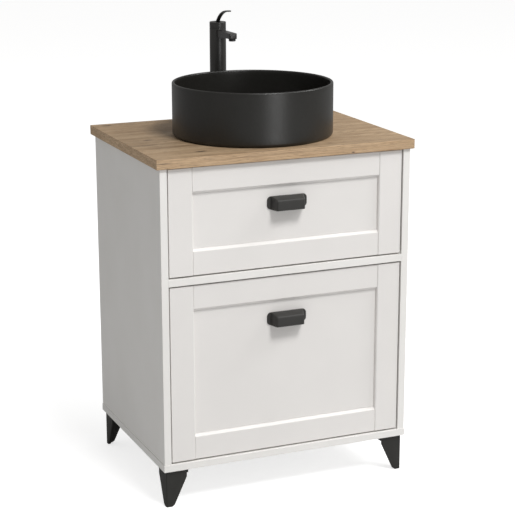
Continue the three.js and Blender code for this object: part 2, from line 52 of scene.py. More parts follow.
camera_data = bpy.data.cameras.new("camera")
camera_data.sensor_width = 36.0
camera_data.lens = 112.7
camera_data.shift_x = 0.0010
camera_data.shift_y = 0.0376
camera = bpy.data.objects.new("camera", camera_data)
camera.location = (-1.3817, -3.2937, 1.4229)
camera.rotation_euler = (math.radians(74.59), math.radians(0.10), math.radians(-23.05))
bpy.context.scene.collection.objects.link(camera)
bpy.context.scene.camera = camera


# ---- Studio: a pale matt floor, an even white surround and three soft lights ----
# Two soft lights stand high on the right and in front. A low panel in front is seen only in reflections,
# where it draws a soft line down round pieces.

SURROUND_LIGHT = 0.375  # strength that falls on the pieces
SURROUND_SEEN = 0.98  # strength seen behind them
SURROUND_WHITE = (1.0, 0.995, 0.985, 1.0)
FLOOR_DARK = (0.62, 0.62, 0.62, 1)
FLOOR_PALE = (0.64, 0.64, 0.64, 1)
FLOOR_GLOW = 0.7  # added to the floor as it is seen, so that it runs into the surround
FLOOR_REACH = 14.0
AIM_HEIGHT = 0.6  # the lights point at the middle of the unit at this height


def colour(red, green, blue):
    """Linear colour for a shader from a colour given as 0-255 screen values."""
    screen = np.array([red, green, blue]) / 255
    linear = np.where(screen <= 0.04045, screen / 12.92, ((screen + 0.055) / 1.055) ** 2.4)
    return (*linear, 1.0)


def add_node(tree, kind, inputs=None, **settings):
    """Adds a shader node, sets its options, and sets or links the inputs named in the dictionary."""
    made = tree.nodes.new(kind)
    for name, value in settings.items():
        setattr(made, name, value)
    for name, value in (inputs or {}).items():
        if isinstance(value, bpy.types.NodeSocket):
            tree.links.new(value, made.inputs[name])
        else:
            made.inputs[name].default_value = value
    return made


def blank_material(name, **settings):
    """A material with one Principled shader: returns the material, its node tree and the shader."""
    material = bpy.data.materials.new(name)
    material.use_nodes = True
    tree = material.node_tree
    shader = tree.nodes["Principled BSDF"]
    for setting, value in settings.items():
        shader.inputs[setting.replace("_", " ")].default_value = value
    return material, tree, shader


def mixed(tree, factor, first, second):
    """Colour between two colours or colour sockets: the first where the factor is 0."""
    return add_node(tree, "ShaderNodeMix", {"Factor": factor, "A": first, "B": second},
                    data_type="RGBA").outputs["Result"]


def area_light(name, watts, width, height, azimuth, elevation, distance):
    """Soft light aimed at the middle of the unit; azimuth 0 stands in front of it, 90 on its right."""
    data = bpy.data.lights.new(name, "AREA")
    data.shape = "RECTANGLE"
    data.energy = watts
    data.size = width
    data.size_y = height
    light = bpy.data.objects.new(name, data)
    turn = math.radians(azimuth)
    rise = math.radians(elevation)
    way = np.array([math.sin(turn) * math.cos(rise), -math.cos(turn) * math.cos(rise), math.sin(rise)])
    light.location = np.array([0.0, 0.0, AIM_HEIGHT]) + distance * way
    light.rotation_euler = (math.pi / 2 - rise, 0.0, turn)
    light.visible_camera = False
    bpy.context.scene.collection.objects.link(light)
    return light


area_light("right_softbox", watts=37.0, width=1.1, height=1.1, azimuth=74, elevation=40, distance=3.2)
area_light("front_softbox", watts=305.0, width=2.1, height=1.7, azimuth=12, elevation=53, distance=7.0)
edge_strip = area_light("edge_strip", watts=16.5, width=1.05, height=1.5, azimuth=9.5, elevation=3,
                        distance=3.4)
edge_strip.visible_diffuse = False

world = bpy.data.worlds.new("white_surround")
bpy.context.scene.world = world
world.use_nodes = True
surround = world.node_tree.nodes["Background"]
surround.inputs["Color"].default_value = SURROUND_WHITE
seen_directly = add_node(world.node_tree, "ShaderNodeLightPath").outputs["Is Camera Ray"]
brightness = add_node(world.node_tree, "ShaderNodeMapRange", {
    "Value": seen_directly, "To Min": SURROUND_LIGHT, "To Max": SURROUND_SEEN})
world.node_tree.links.new(brightness.outputs[0], surround.inputs["Strength"])
bpy.context.scene.view_settings.view_transform = "Standard"

floor_paint, tree, shader = blank_material("floor_paint", Roughness=0.9)
floor_cloud = add_node(tree, "ShaderNodeTexNoise", {"Scale": 3.0, "Detail": 2.0})
tree.links.new(mixed(tree, floor_cloud.outputs["Fac"], FLOOR_DARK, FLOOR_PALE), shader.inputs["Base Color"])
shader.inputs["Emission Color"].default_value = (1, 1, 1, 1)
seen_directly = add_node(tree, "ShaderNodeLightPath").outputs["Is Camera Ray"]
glow = add_node(tree, "ShaderNodeMath", {0: seen_directly, 1: FLOOR_GLOW}, operation="MULTIPLY")
tree.links.new(glow.outputs[0], shader.inputs["Emission Strength"])
floor_mesh = bpy.data.meshes.new("floor")
floor_mesh.from_pydata([(-FLOOR_REACH, -FLOOR_REACH, 0), (FLOOR_REACH, -FLOOR_REACH, 0),
                        (FLOOR_REACH, FLOOR_REACH, 0), (-FLOOR_REACH, FLOOR_REACH, 0)], [], [(0, 1, 2, 3)])
floor_mesh.materials.append(floor_paint)
floor = bpy.data.objects.new("floor", floor_mesh)
bpy.context.scene.collection.objects.link(floor)


# ---- Feet: black powder-coated steel angles under a square plate, screwed up into the bottom panel ----
# Each arm is full width under the plate and tapers to a short toe; the outer corner is bent round.

SAME_POINT = 1e-6  # points nearer than this are one
SLIVER = 1e-7  # edges shorter than this are dropped


def rounded(points, radii, steps=5):
    """Outline with its corners turned into arcs: each arc touches both neighbouring sides and sweeps
    evenly between its two tangent points. A radius of 0 keeps the corner."""
    points = np.asarray(points, float)
    radii = np.broadcast_to(radii, len(points))
    outline = []
    for before, corner, after, radius in zip(np.roll(points, 1, 0), points, np.roll(points, -1, 0), radii):
        if radius == 0:
            outline.append(corner[None])
            continue
        back = (before - corner) / np.linalg.norm(before - corner)
        ahead = (after - corner) / np.linalg.norm(after - corner)
        half = math.acos(np.clip(back @ ahead, -1, 1)) / 2
        middle = corner + (back + ahead) / np.linalg.norm(back + ahead) * radius / math.sin(half)
        start = corner + back * radius / math.tan(half) - middle
        end = corner + ahead * radius / math.tan(half) - middle
        sweep = math.pi - 2 * half
        share = np.linspace(0, 1, steps + 1)[:, None]
        outline.append(middle + (np.sin((1 - share) * sweep) * start + np.sin(share * sweep) * end)
                       / math.sin(sweep))
    return np.concatenate(outline)


def welded(name, points, faces, material):
    """Smooth-shaded object from points and faces: doubled points are welded and faces turned outward."""
    mesh = bpy.data.meshes.new(name)
    mesh.from_pydata(points.tolist(), [], faces)
    work = bmesh.new()
    work.from_mesh(mesh)
    bmesh.ops.remove_doubles(work, verts=work.verts, dist=SAME_POINT)
    bmesh.ops.dissolve_degenerate(work, edges=work.edges, dist=SLIVER)
    bmesh.ops.recalc_face_normals(work, faces=work.faces)
    work.to_mesh(mesh)
    work.free()
    mesh.polygons.foreach_set("use_smooth", np.ones(len(mesh.polygons), bool))
    mesh.materials.append(material)
    made = bpy.data.objects.new(name, mesh)
    bpy.context.scene.collection.objects.link(made)
    return made


def skin(name, loops, material, around=True, joined=False, capped=True):
    """Surface through a stack of loops of points: loop i and loop i + 1 are joined by a strip of faces.
    A stack that is joined closes on itself like a ring; one that is capped has its two ends filled."""
    loops = np.asarray(loops, float)
    rows, columns = loops.shape[:2]
    index = np.arange(rows * columns).reshape(rows, columns)
    if joined:
        index = np.vstack([index, index[:1]])
    if around:
        index = np.hstack([index, index[:, :1]])
    faces = np.stack([index[:-1, :-1], index[:-1, 1:], index[1:, 1:], index[1:, :-1]], -1).reshape(-1, 4)
    faces = faces.tolist()
    if capped and not joined:
        faces += [index[0, :columns][::-1].tolist(), index[-1, :columns].tolist()]
    return welded(name, loops.reshape(-1, 3), faces, material)


def at_height(plan, z):
    """Outline given in X and Y, set level at a height."""
    return np.column_stack([plan, np.full(len(plan), z)])


def ease_edges(piece, width, segments=2, angle=28):
    """Rounds every edge sharper than the angle, and keeps the flat faces flat in the shading."""
    bevel = piece.modifiers.new("eased_edges", "BEVEL")
    bevel.width = width
    bevel.segments = segments
    bevel.limit_method = "ANGLE"
    bevel.angle_limit = math.radians(angle)
    bevel.harden_normals = True
    bevel.miter_outer = "MITER_ARC"
    return piece


def stands_for(piece, body, slot, *nodes):
    """The piece rides on a body and hides the CAD nodes it stands for. The slot is not used."""
    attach(piece, body)
    if nodes:
        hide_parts(*nodes)
    return piece


def value_group(name, inputs, outputs):
    """An empty shader node group; inputs are (name, kind, default) and outputs (name, kind)."""
    tree = bpy.data.node_groups.new(name, "ShaderNodeTree")
    for label, kind, default in inputs:
        socket = tree.interface.new_socket(label, in_out="INPUT", socket_type=kind)
        socket.default_value = default
    for label, kind in outputs:
        tree.interface.new_socket(label, in_out="OUTPUT", socket_type=kind)
    entry = add_node(tree, "NodeGroupInput")
    leave = add_node(tree, "NodeGroupOutput")
    return tree, entry.outputs, leave.inputs


def fine_grain_group():
    """Pebbled surface of sprayed, coated and moulded finishes. Height is a fine noise whose grain size is
    given in metres, plus a broad swell five times as wide; Tone is a slow cloud from 0 to 1."""
    tree, given, out = value_group(
        "fine_grain",
        [("Grain", "NodeSocketFloat", 0.001), ("Swell", "NodeSocketFloat", 0.3),
         ("Cloud", "NodeSocketFloat", 0.12)],
        [("Height", "NodeSocketFloat"), ("Tone", "NodeSocketFloat")])
    place = add_node(tree, "ShaderNodeTexCoord").outputs["Object"]
    per_metre = add_node(tree, "ShaderNodeMath", {0: 1.0, 1: given["Grain"]}, operation="DIVIDE")
    fine = add_node(tree, "ShaderNodeTexNoise", {"Vector": place, "Scale": per_metre.outputs[0],
                                                "Detail": 2.0, "Roughness": 0.55})
    wide_scale = add_node(tree, "ShaderNodeMath", {0: per_metre.outputs[0], 1: 0.2}, operation="MULTIPLY")
    wide = add_node(tree, "ShaderNodeTexNoise", {"Vector": place, "Scale": wide_scale.outputs[0],
                                                "Detail": 1.0})
    height = add_node(tree, "ShaderNodeMath", {0: wide.outputs["Fac"], 1: given["Swell"],
                                              2: fine.outputs["Fac"]}, operation="MULTIPLY_ADD")
    cloud_scale = add_node(tree, "ShaderNodeMath", {0: 1.0, 1: given["Cloud"]}, operation="DIVIDE")
    cloud = add_node(tree, "ShaderNodeTexNoise", {"Vector": place, "Scale": cloud_scale.outputs[0],
                                                 "Detail": 3.0, "Roughness": 0.6})
    tone = add_node(tree, "ShaderNodeMapRange", {"Value": cloud.outputs["Fac"], "From Min": 0.3,
                                                "From Max": 0.7})
    tree.links.new(height.outputs[0], out["Height"])
    tree.links.new(tone.outputs[0], out["Tone"])
    return tree


fine_grain = fine_grain_group()


def dress(tree, shader, colour_socket, roughness_socket, height, depth):
    """Links a finish to its shader; the height, from 0 to 1, stands up by the depth in metres."""
    bump = add_node(tree, "ShaderNodeBump", {"Height": height, "Distance": depth, "Strength": 1.0})
    tree.links.new(colour_socket, shader.inputs["Base Color"])
    tree.links.new(roughness_socket, shader.inputs["Roughness"])
    tree.links.new(bump.outputs["Normal"], shader.inputs["Normal"])


def grained_material(name, dark, light, grain, depth, rough, swell=0.3, cloud=0.12, **settings):
    """Solid-coloured finish: the colour drifts between two near tones, the roughness between two values,
    and the fine grain stands up by the depth, in metres."""
    material, tree, shader = blank_material(name, **settings)
    texture = add_node(tree, "ShaderNodeGroup", {"Grain": grain, "Swell": swell, "Cloud": cloud},
                       node_tree=fine_grain)
    roughness = add_node(tree, "ShaderNodeMapRange", {"Value": texture.outputs["Height"],
                                                     "To Min": rough[0], "To Max": rough[1]})
    dress(tree, shader, mixed(tree, texture.outputs["Tone"], dark, light), roughness.outputs[0],
          texture.outputs["Height"], depth)
    return material


powder_coat = grained_material("black_powder_coat", colour(38, 37, 34), colour(44, 43, 40), grain=0.0006,
                               depth=0.00004, rough=(0.46, 0.6), Specular_IOR_Level=0.35)

FOOT_ARM = 0.048
FOOT_WALL = 0.005
FOOT_PLATE = 0.009
FOOT_SHOULDER = 0.018  # height below the top where the taper starts
FOOT_TOE = 0.017  # length of an arm at the floor, before its tip is cut
FOOT_TOE_CUT = 0.004
FOOT_BEND = 0.003
FOOT_EDGE = 0.0004
FOOT_EASE = 0.0008


def foot_loop(z, arm, plate=False):
    """Section at height z, with a bent outer corner: two arms of the given length, or a square with
    small rounded corners for the plate."""
    inner = arm if plate else FOOT_WALL
    corners = [(0, 0), (arm, 0), (arm, FOOT_WALL), (inner, inner), (FOOT_WALL, arm), (0, arm)]
    end = FOOT_BEND if plate else FOOT_EDGE
    return at_height(rounded(corners, [FOOT_BEND, end, 0, end, 0, end], steps=6), z)


def foot(node, x_way, y_way):
    """Stack of sections: the arms lengthen in a straight line from the cut toe to the shoulder, and the
    plate lies on top. The ways say to which side of the outer corner the arms reach."""
    low, high = np.array(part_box(node))
    height = high[2]
    slant_top = height - FOOT_SHOULDER
    cut_end = FOOT_TOE + (FOOT_ARM - FOOT_TOE) * FOOT_TOE_CUT / slant_top
    side = high[0] - low[0]
    sections = [foot_loop(0.0, FOOT_TOE - FOOT_TOE_CUT), foot_loop(FOOT_TOE_CUT, cut_end),
                foot_loop(slant_top, FOOT_ARM), foot_loop(height - FOOT_PLATE, FOOT_ARM),
                foot_loop(height - FOOT_PLATE, side, plate=True), foot_loop(height, side, plate=True)]
    loops = np.array(sections)
    loops[..., 0] = loops[..., 0] + low[0] if x_way > 0 else high[0] - loops[..., 0]
    loops[..., 1] = loops[..., 1] + low[1] if y_way > 0 else high[1] - loops[..., 1]
    return ease_edges(skin(node + "_angle", loops, powder_coat), FOOT_EASE, segments=3)


for corner_name, x_way, y_way in (("front_left", 1, 1), ("front_right", -1, 1),
                                  ("rear_right", -1, -1), ("rear_left", 1, -1)):
    node = "foot_" + corner_name
    stands_for(foot(node, x_way, y_way), "vanity", "black_foot", node)


# ---- Carcass: 16 mm particle boards faced with white melamine, doweled and cammed together ----
# Two sides stand on the bottom panel, a rail parts the two drawers, and a stretcher and a wall rail
# hold the sides at the top. The seen front edges carry an ironed-on band of the same white.

BOARD_EASE = 0.0005
SHEET_EASE = 0.0003


def board(name, low, high, material, ease=BOARD_EASE):
    """Flat board between two corners: a rectangle at the lower face carried up to the upper face."""
    (x0, y0, z0), (x1, y1, z1) = low, high
    loops = [[(x0, y0, z), (x1, y0, z), (x1, y1, z), (x0, y1, z)] for z in (z0, z1)]
    return ease_edges(skin(name, loops, material), ease)


melamine = grained_material("white_melamine", colour(236, 234, 230), colour(241, 239, 236), grain=0.0009,
                            depth=0.00003, rough=(0.42, 0.52), swell=0.2, cloud=0.2)
hardboard = grained_material("white_hardboard", colour(214, 211, 204), colour(222, 220, 213), grain=0.0015,
                             depth=0.00006, rough=(0.55, 0.68), swell=0.5)

for node in ("left_side_panel", "right_side_panel", "bottom_panel", "middle_rail", "front_stretcher",
             "wall_rail"):
    stands_for(board(node + "_board", *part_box(node), melamine), "vanity", "white_carcass", node)
stands_for(board("back_board_sheet", *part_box("back_board"), hardboard, ease=SHEET_EASE),
           "vanity", "hardboard", "back_board")


# ---- Runners: bright zinc-plated steel channels, rolled from strip ----
# The wider channel is screwed to the side panel, and the narrower one is screwed to the drawer and
# slides inside it.

def streak_group():
    """Brushed or drawn marks. Noise is stretched along one direction, given by how many times finer it
    is across X, Y and Z; Tone is the marks from 0 to 1 and Height the same with a finer set added."""
    tree, given, out = value_group(
        "streaks", [("Finer", "NodeSocketVector", (400.0, 8.0, 400.0))],
        [("Tone", "NodeSocketFloat"), ("Height", "NodeSocketFloat")])
    place = add_node(tree, "ShaderNodeTexCoord").outputs["Object"]
    stretched = add_node(tree, "ShaderNodeVectorMath", {0: place, 1: given["Finer"]}, operation="MULTIPLY")
    coarse = add_node(tree, "ShaderNodeTexNoise", {"Vector": stretched.outputs[0], "Scale": 1.0,
                                                  "Detail": 3.0, "Roughness": 0.65})
    fine = add_node(tree, "ShaderNodeTexNoise", {"Vector": stretched.outputs[0], "Scale": 4.3,
                                                "Detail": 1.0})
    tone = add_node(tree, "ShaderNodeMapRange", {"Value": coarse.outputs["Fac"], "From Min": 0.3,
                                                "From Max": 0.7})
    height = add_node(tree, "ShaderNodeMath", {0: fine.outputs["Fac"], 1: 0.4, 2: coarse.outputs["Fac"]},
                      operation="MULTIPLY_ADD")
    tree.links.new(tone.outputs[0], out["Tone"])
    tree.links.new(height.outputs[0], out["Height"])
    return tree


streaks = streak_group()


def drawn_metal(name, dark, light, finer, depth, rough):
    """Bare or plated metal with drawn marks in its colour, its roughness and its surface."""
    material, tree, shader = blank_material(name, Metallic=1.0)
    marks = add_node(tree, "ShaderNodeGroup", {"Finer": finer}, node_tree=streaks)
    roughness = add_node(tree, "ShaderNodeMapRange", {"Value": marks.outputs["Tone"],
                                                     "To Min": rough[1], "To Max": rough[0]})
    dress(tree, shader, mixed(tree, marks.outputs["Tone"], dark, light), roughness.outputs[0],
          marks.outputs["Height"], depth)
    return material


zinc = drawn_metal("bright_zinc", colour(176, 180, 184), colour(206, 209, 212), finer=(900.0, 12.0, 900.0),
                   depth=0.00002, rough=(0.26, 0.42))
STRIP = 0.0015
STRIP_BEND = 0.0022
STRIP_EASE = 0.0002


def across_y(section, y):
    """Section given in X and Z, set upright at a place along Y."""
    return np.column_stack([section[:, 0], np.full(len(section), y), section[:, 1]])


def runner_channel(name, node, web_side):
    """C-shaped section of bent strip in the X-Z plane, carried along Y: the web stands on the given side
    (-1 left, 1 right), and the two flanges reach to the other side."""
    low, high = np.array(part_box(node))
    web, edge = (low[0], high[0]) if web_side < 0 else (high[0], low[0])
    inner = web + math.copysign(STRIP, edge - web)
    corners = [(web, low[2]), (edge, low[2]), (edge, low[2] + STRIP), (inner, low[2] + STRIP),
               (inner, high[2] - STRIP), (edge, high[2] - STRIP), (edge, high[2]), (web, high[2])]
    bend = [STRIP_BEND, 0, 0, STRIP_BEND - STRIP, STRIP_BEND - STRIP, 0, 0, STRIP_BEND]
    section = rounded(corners, bend, steps=4)
    loops = [across_y(section, y) for y in (low[1], high[1])]
    return ease_edges(skin(name, loops, zinc), STRIP_EASE, angle=50)


for drawer in ("upper", "lower"):
    for side, sign in (("left", -1), ("right", 1)):
        fixed = f"{drawer}_{side}_cabinet_runner"
        moving = f"{drawer}_{side}_drawer_runner"
        stands_for(runner_channel(fixed + "_strip", fixed, sign), "vanity", "zinc_steel", fixed)
        stands_for(runner_channel(moving + "_strip", moving, -sign), f"{drawer}_drawer", "zinc_steel", moving)


# ---- Drawer boxes: 12 mm pale boards, with the bottom grooved in a little above the lower edge ----
# The upper box is cut out at the back for the trap, and a moulded grey bay lines the cut-out.

drawer_board = grained_material("drawer_melamine", colour(214, 211, 204), colour(222, 219, 213),
                                grain=0.0012, depth=0.00004, rough=(0.5, 0.62), swell=0.4, cloud=0.25)
moulded_grey = grained_material("moulded_grey", colour(136, 139, 141), colour(146, 149, 151),
                                grain=0.0005, depth=0.00003, rough=(0.45, 0.6))
BOX_EASE = 0.0004
BAY_EASE = 0.0009
BAY_CORNER = 0.030
BAY_WALL = 0.003
BAY_PLAY = 0.0003


def bay_outline(half, start, end, corner):
    """U-shaped plan, open towards the wall: straight sides joined to the front by two arcs."""
    return rounded([(-half, end), (-half, start), (half, start), (half, end)], [0, corner, corner, 0],
                   steps=10)


def flat_piece(name, plan, low, high, material):
    """Outline in the X-Y plane carried up from low to high."""
    return skin(name, [at_height(plan, z) for z in (low, high)], material)


for node in ("upper_left_side", "upper_right_side", "upper_back_left", "upper_back_right",
             "lower_left_side", "lower_right_side", "lower_bottom", "lower_back"):
    stands_for(board(node + "_board", *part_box(node), drawer_board, ease=BOX_EASE),
               node.split("_")[0] + "_drawer", "drawer_board", node)

bay_low, bay_high = np.array(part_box("upper_trap_bay"))
base_low, base_high = np.array(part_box("upper_bottom"))
outer_bay = bay_outline(bay_high[0], bay_low[1], bay_high[1], BAY_CORNER)
inner_bay = bay_outline(bay_high[0] - BAY_WALL, bay_low[1] + BAY_WALL, bay_high[1], BAY_CORNER - BAY_WALL)
cut_out = bay_outline(bay_high[0] + BAY_PLAY, bay_low[1] - BAY_PLAY, base_high[1], BAY_CORNER + BAY_PLAY)
base_plan = np.concatenate([cut_out, [(base_high[0], base_high[1]), (base_high[0], base_low[1]),
                                      (base_low[0], base_low[1]), (base_low[0], base_high[1])]])
upper_base = flat_piece("upper_bottom_board", base_plan, base_low[2], base_high[2], drawer_board)
stands_for(ease_edges(upper_base, BOX_EASE), "upper_drawer", "drawer_board", "upper_bottom")
bay = flat_piece("upper_trap_bay_moulding", np.concatenate([outer_bay, inner_bay[::-1]]),
                 bay_low[2], bay_high[2], moulded_grey)
stands_for(ease_edges(bay, BAY_EASE), "upper_drawer", "grey_plastic", "upper_trap_bay")


# ---- Drawer fronts: frames of MDF, sprayed with satin white lacquer, round a set-back panel ----
# The stiles run the full height and have a small chamfer inside; the rails lie a little behind them
# and slope back to the panel, so each joint shows as a fine line.

STILE_CHAMFER = 0.0020
RAIL_BEVEL = 0.0055
STILE_EASE = 0.0007
RAIL_EASE = 0.0006
PANEL_EASE = 0.0003

lacquer = grained_material("white_lacquer", colour(231, 228, 225), colour(236, 233, 230), grain=0.0016,
                           depth=0.000045, rough=(0.34, 0.46), swell=0.6, cloud=0.3)


def stile(node, inner_side):
    """Upright with a pentagon plan: the front edge that faces the panel is chamfered."""
    (x0, y0, z0), (x1, y1, z1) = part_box(node)
    inner, outer = (x1, x0) if inner_side > 0 else (x0, x1)
    plan = np.array([(outer, y0), (inner - inner_side * STILE_CHAMFER, y0), (inner, y0 + STILE_CHAMFER),
                     (inner, y1), (outer, y1)])
    return ease_edges(flat_piece(node + "_lacquered", plan, z0, z1, lacquer), STILE_EASE, segments=3)


def rail(node, inward):
    """Cross piece with a pentagon side section: the edge that faces the panel slopes back to it."""
    (x0, y0, z0), (x1, y1, z1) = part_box(node)
    outer, inner = (z0, z1) if inward > 0 else (z1, z0)
    section = np.array([(y0, outer), (y1, outer), (y1, inner), (y0 + RAIL_BEVEL, inner),
                        (y0, inner - inward * RAIL_BEVEL)])
    loops = [np.column_stack([np.full(len(section), x), section]) for x in (x0, x1)]
    return ease_edges(skin(node + "_lacquered", loops, lacquer), RAIL_EASE, segments=3)


for drawer in ("upper", "lower"):
    body = drawer + "_drawer"
    for make, part, inward in ((stile, "_left_stile", 1), (stile, "_right_stile", -1),
                               (rail, "_bottom_rail", 1), (rail, "_top_rail", -1)):
        stands_for(make(drawer + part, inward), body, "white_front", drawer + part)
    node = drawer + "_centre_panel"
    panel = board(node + "_lacquered", *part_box(node), lacquer, ease=PANEL_EASE)
    stands_for(panel, body, "white_front", node)


# ---- Pulls: die-cast zinc cups with a satin black coat, each held by two screws from inside ----
# A thin back plate with rounded corners carries a hood that is open underneath for the fingertips.

PLATE_THICK = 0.0025
PLATE_CORNER = 0.009
PLATE_EASE = 0.0008
HOOD_ROOT = 0.078
HOOD_NOSE = 0.065
HOOD_CORNER = 0.005
HOOD_SHOULDER = 0.007  # the roof is level out to here
HOOD_SLOPE = 0.33  # and then drops by this much per metre
SHOULDER_BEND = 0.003
HOOD_WALL = 0.0026
HOOD_EASE = 0.0005
ROOT_EDGE = 0.0021  # rounding of the roof's edge near the panel
NOSE_EDGE = 0.0037  # and at the nose
EDGE_GROWS = (0.010, 0.020)  # the rounding grows between these distances from the panel
ROOT_BAND = 0.004  # nearer to the panel than this the wall runs straight up
LONG_SIDE = 0.004  # sides of the plan longer than this are divided in four
WALL_LOOPS = 5
EDGE_LOOPS = 7
ROOF_LOOPS = 14

cast_black = grained_material("cast_black_coat", colour(46, 45, 43), colour(52, 51, 49), grain=0.0007,
                              depth=0.00005, rough=(0.42, 0.56), swell=0.5, Specular_IOR_Level=0.35)


def hood_roof(out):
    """Drop of the roof at a distance out from the panel: level to the shoulder, then a steady slope,
    the two joined by a short parabola."""
    past = np.maximum(np.asarray(out) - HOOD_SHOULDER + SHOULDER_BEND / 2, 0)
    return HOOD_SLOPE * np.where(past < SHOULDER_BEND, past ** 2 / (2 * SHOULDER_BEND),
                                 past - SHOULDER_BEND / 2)


def hood(name, middle, panel_y, top, height, reach):
    """Shell over a plan that runs from the root round the nose and back to the root. The first loops
    climb straight up the wall; the next follow a quarter circle over the edge; the rest shrink towards
    the middle of the root along the roof. The edge is rounder at the nose than at the root."""
    root = HOOD_ROOT / 2
    nose = HOOD_NOSE / 2
    start = PLATE_THICK / 2
    plan = rounded([(-root, start), (-nose, reach), (nose, reach), (root, start)],
                   [0, HOOD_CORNER, HOOD_CORNER, 0], steps=10)
    plan = np.concatenate([np.linspace(a, b, 4, endpoint=False) if np.linalg.norm(b - a) > LONG_SIDE else [a]
                           for a, b in zip(plan[:-1], plan[1:])] + [plan[-1:]])
    along = np.gradient(plan, axis=0)
    inward = np.column_stack([along[:, 1], -along[:, 0]])
    inward /= np.linalg.norm(inward, axis=1)[:, None]
    inward[plan[:, 1] < ROOT_BAND] = (0, 0)
    edge = np.interp(plan[:, 1], EDGE_GROWS, [ROOT_EDGE, NOSE_EDGE])
    loops = []
    for share in np.linspace(0, 1, WALL_LOOPS):
        wall_top = -hood_roof(plan[:, 1]) - edge
        loops.append(np.column_stack([plan, -height + share * (wall_top + height)]))
    for turn in np.linspace(0, math.pi / 2, EDGE_LOOPS)[1:]:
        ring = plan + inward * (edge * (1 - math.cos(turn)))[:, None]
        loops.append(np.column_stack([ring, -hood_roof(ring[:, 1]) - edge * (1 - math.sin(turn))]))
    roof_edge = loops[-1][:, :2]
    for shrink in np.linspace(0, 1, ROOF_LOOPS)[1:]:
        ring = roof_edge * (1 - shrink) + np.array([0, start]) * shrink
        loops.append(np.column_stack([ring, -hood_roof(ring[:, 1])]))
    points = np.array(loops)
    points = np.stack([middle + points[..., 0], panel_y - points[..., 1], top + points[..., 2]], -1)
    made = skin(name, points, cast_black, around=False, capped=False)
    wall = made.modifiers.new("cast_wall", "SOLIDIFY")
    wall.thickness = HOOD_WALL
    wall.offset = -1
    return ease_edges(made, HOOD_EASE, angle=50)


for drawer in ("upper", "lower"):
    node = drawer + "_pull"
    (x0, y0, z0), (x1, y1, z1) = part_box(node)
    middle_x = (x0 + x1) / 2
    plan = rounded([(x0, z0), (x1, z0), (x1, z1), (x0, z1)], PLATE_CORNER, steps=8)
    loops = [across_y(plan, y) for y in (y1, y1 - PLATE_THICK)]
    plate = ease_edges(skin(node + "_back_plate", loops, cast_black), PLATE_EASE, segments=3, angle=50)
    cup = hood(node + "_hood", middle_x, y1, z1, z1 - z0, y1 - y0)
    stands_for(plate, drawer + "_drawer", "black_pull")
    stands_for(cup, drawer + "_drawer", "black_pull", node)


# ---- Worktop: 21 mm board with a matt oak decor, edge-banded in the same decor ----
# The grain runs along the width; one hole takes the waste and one the tap's shank.

WASTE_HOLE = 0.0225
TAP_HOLE = 0.0175
HOLE_POINTS = 32
WORKTOP_EASE = 0.0006


def ring_between(rectangle, centre, radius, z):
    """Flat ring from a circle out to a rectangle, as two loops with matching points: each point of the
    circle looks out along its own direction to the rectangle, whose corners are among the points."""
    (x0, y0), (x1, y1) = rectangle
    corners = np.array([(x0, y0), (x1, y0), (x1, y1), (x0, y1)])
    sides = [corners[i] + np.linspace(0, 1, HOLE_POINTS // 4, endpoint=False)[:, None]
             * (corners[(i + 1) % 4] - corners[i]) for i in range(4)]
    outline = np.concatenate(sides)
    away = outline - centre
    circle = centre + radius * away / np.linalg.norm(away, axis=1)[:, None]
    return [at_height(loop, z) for loop in (circle, outline)]


def drilled_board(name, low, high, holes, split_y, material):
    """Board with two holes, as two fields that meet at split_y. Each field is a closed tube of loops:
    outline below, circle below, circle above, outline above; the walls of the meeting line are left
    out, so the fields join into one body."""
    (x0, y0, z0), (x1, y1, z1) = low, high
    points = []
    faces = []
    for (centre, radius), (start, end) in zip(holes, ((y0, split_y), (split_y, y1))):
        field = ((x0, start), (x1, end))
        circle_low, outline_low = ring_between(field, np.array(centre), radius, z0)
        circle_high, outline_high = ring_between(field, np.array(centre), radius, z1)
        loops = np.array([outline_low, circle_low, circle_high, outline_high])
        index = np.arange(4 * HOLE_POINTS).reshape(4, HOLE_POINTS) + HOLE_POINTS * len(points)
        after = np.roll(index, -1, 1)
        above = np.roll(index, -1, 0)
        strips = np.stack([index, after, np.roll(after, -1, 0), above], -1)
        middle_y = (loops[-1, :, 1] + np.roll(loops[-1, :, 1], -1)) / 2
        off_split = abs(middle_y - split_y) > SAME_POINT
        strips = np.concatenate([strips[:-1].reshape(-1, 4), strips[-1][off_split]])
        points += list(loops)
        faces += strips.tolist()
    return welded(name, np.concatenate(points), faces, material)


CROWN_X = -0.057
CROWN_HEIGHT = 0.016
CROWN_NARROW = 15.0  # the crown is half as high at one metre over this from its middle
RING_PHASE = 1350.0  # radians of the rings' sine for each metre across them
# Centre and size of each knot.
KNOTS = [((-0.182, -0.168, 0.775), 0.011), ((-0.241, -0.001, 0.775), 0.008),
         ((-0.268, 0.206, 0.775), 0.011), ((0.205, 0.120, 0.775), 0.008),
         ((0.150, -0.222, 0.757), 0.0035)]
KNOT_SQUEEZE = (0.34, 1.0, 1.0)  # a knot is about three times as long along X
CRACKED_FROM, CRACKED_TO = -0.08, -0.24  # dark cracks come in towards the left end
# Painted light and shade: the top is painted darker and the edge band below it is painted lighter, so that
# top and edges match in brightness under the lights.
TOP_PAINTED_SHADE = 0.79
EDGE_PAINTED_LIGHT = 1.11
OAK_RELIEF = 0.00008


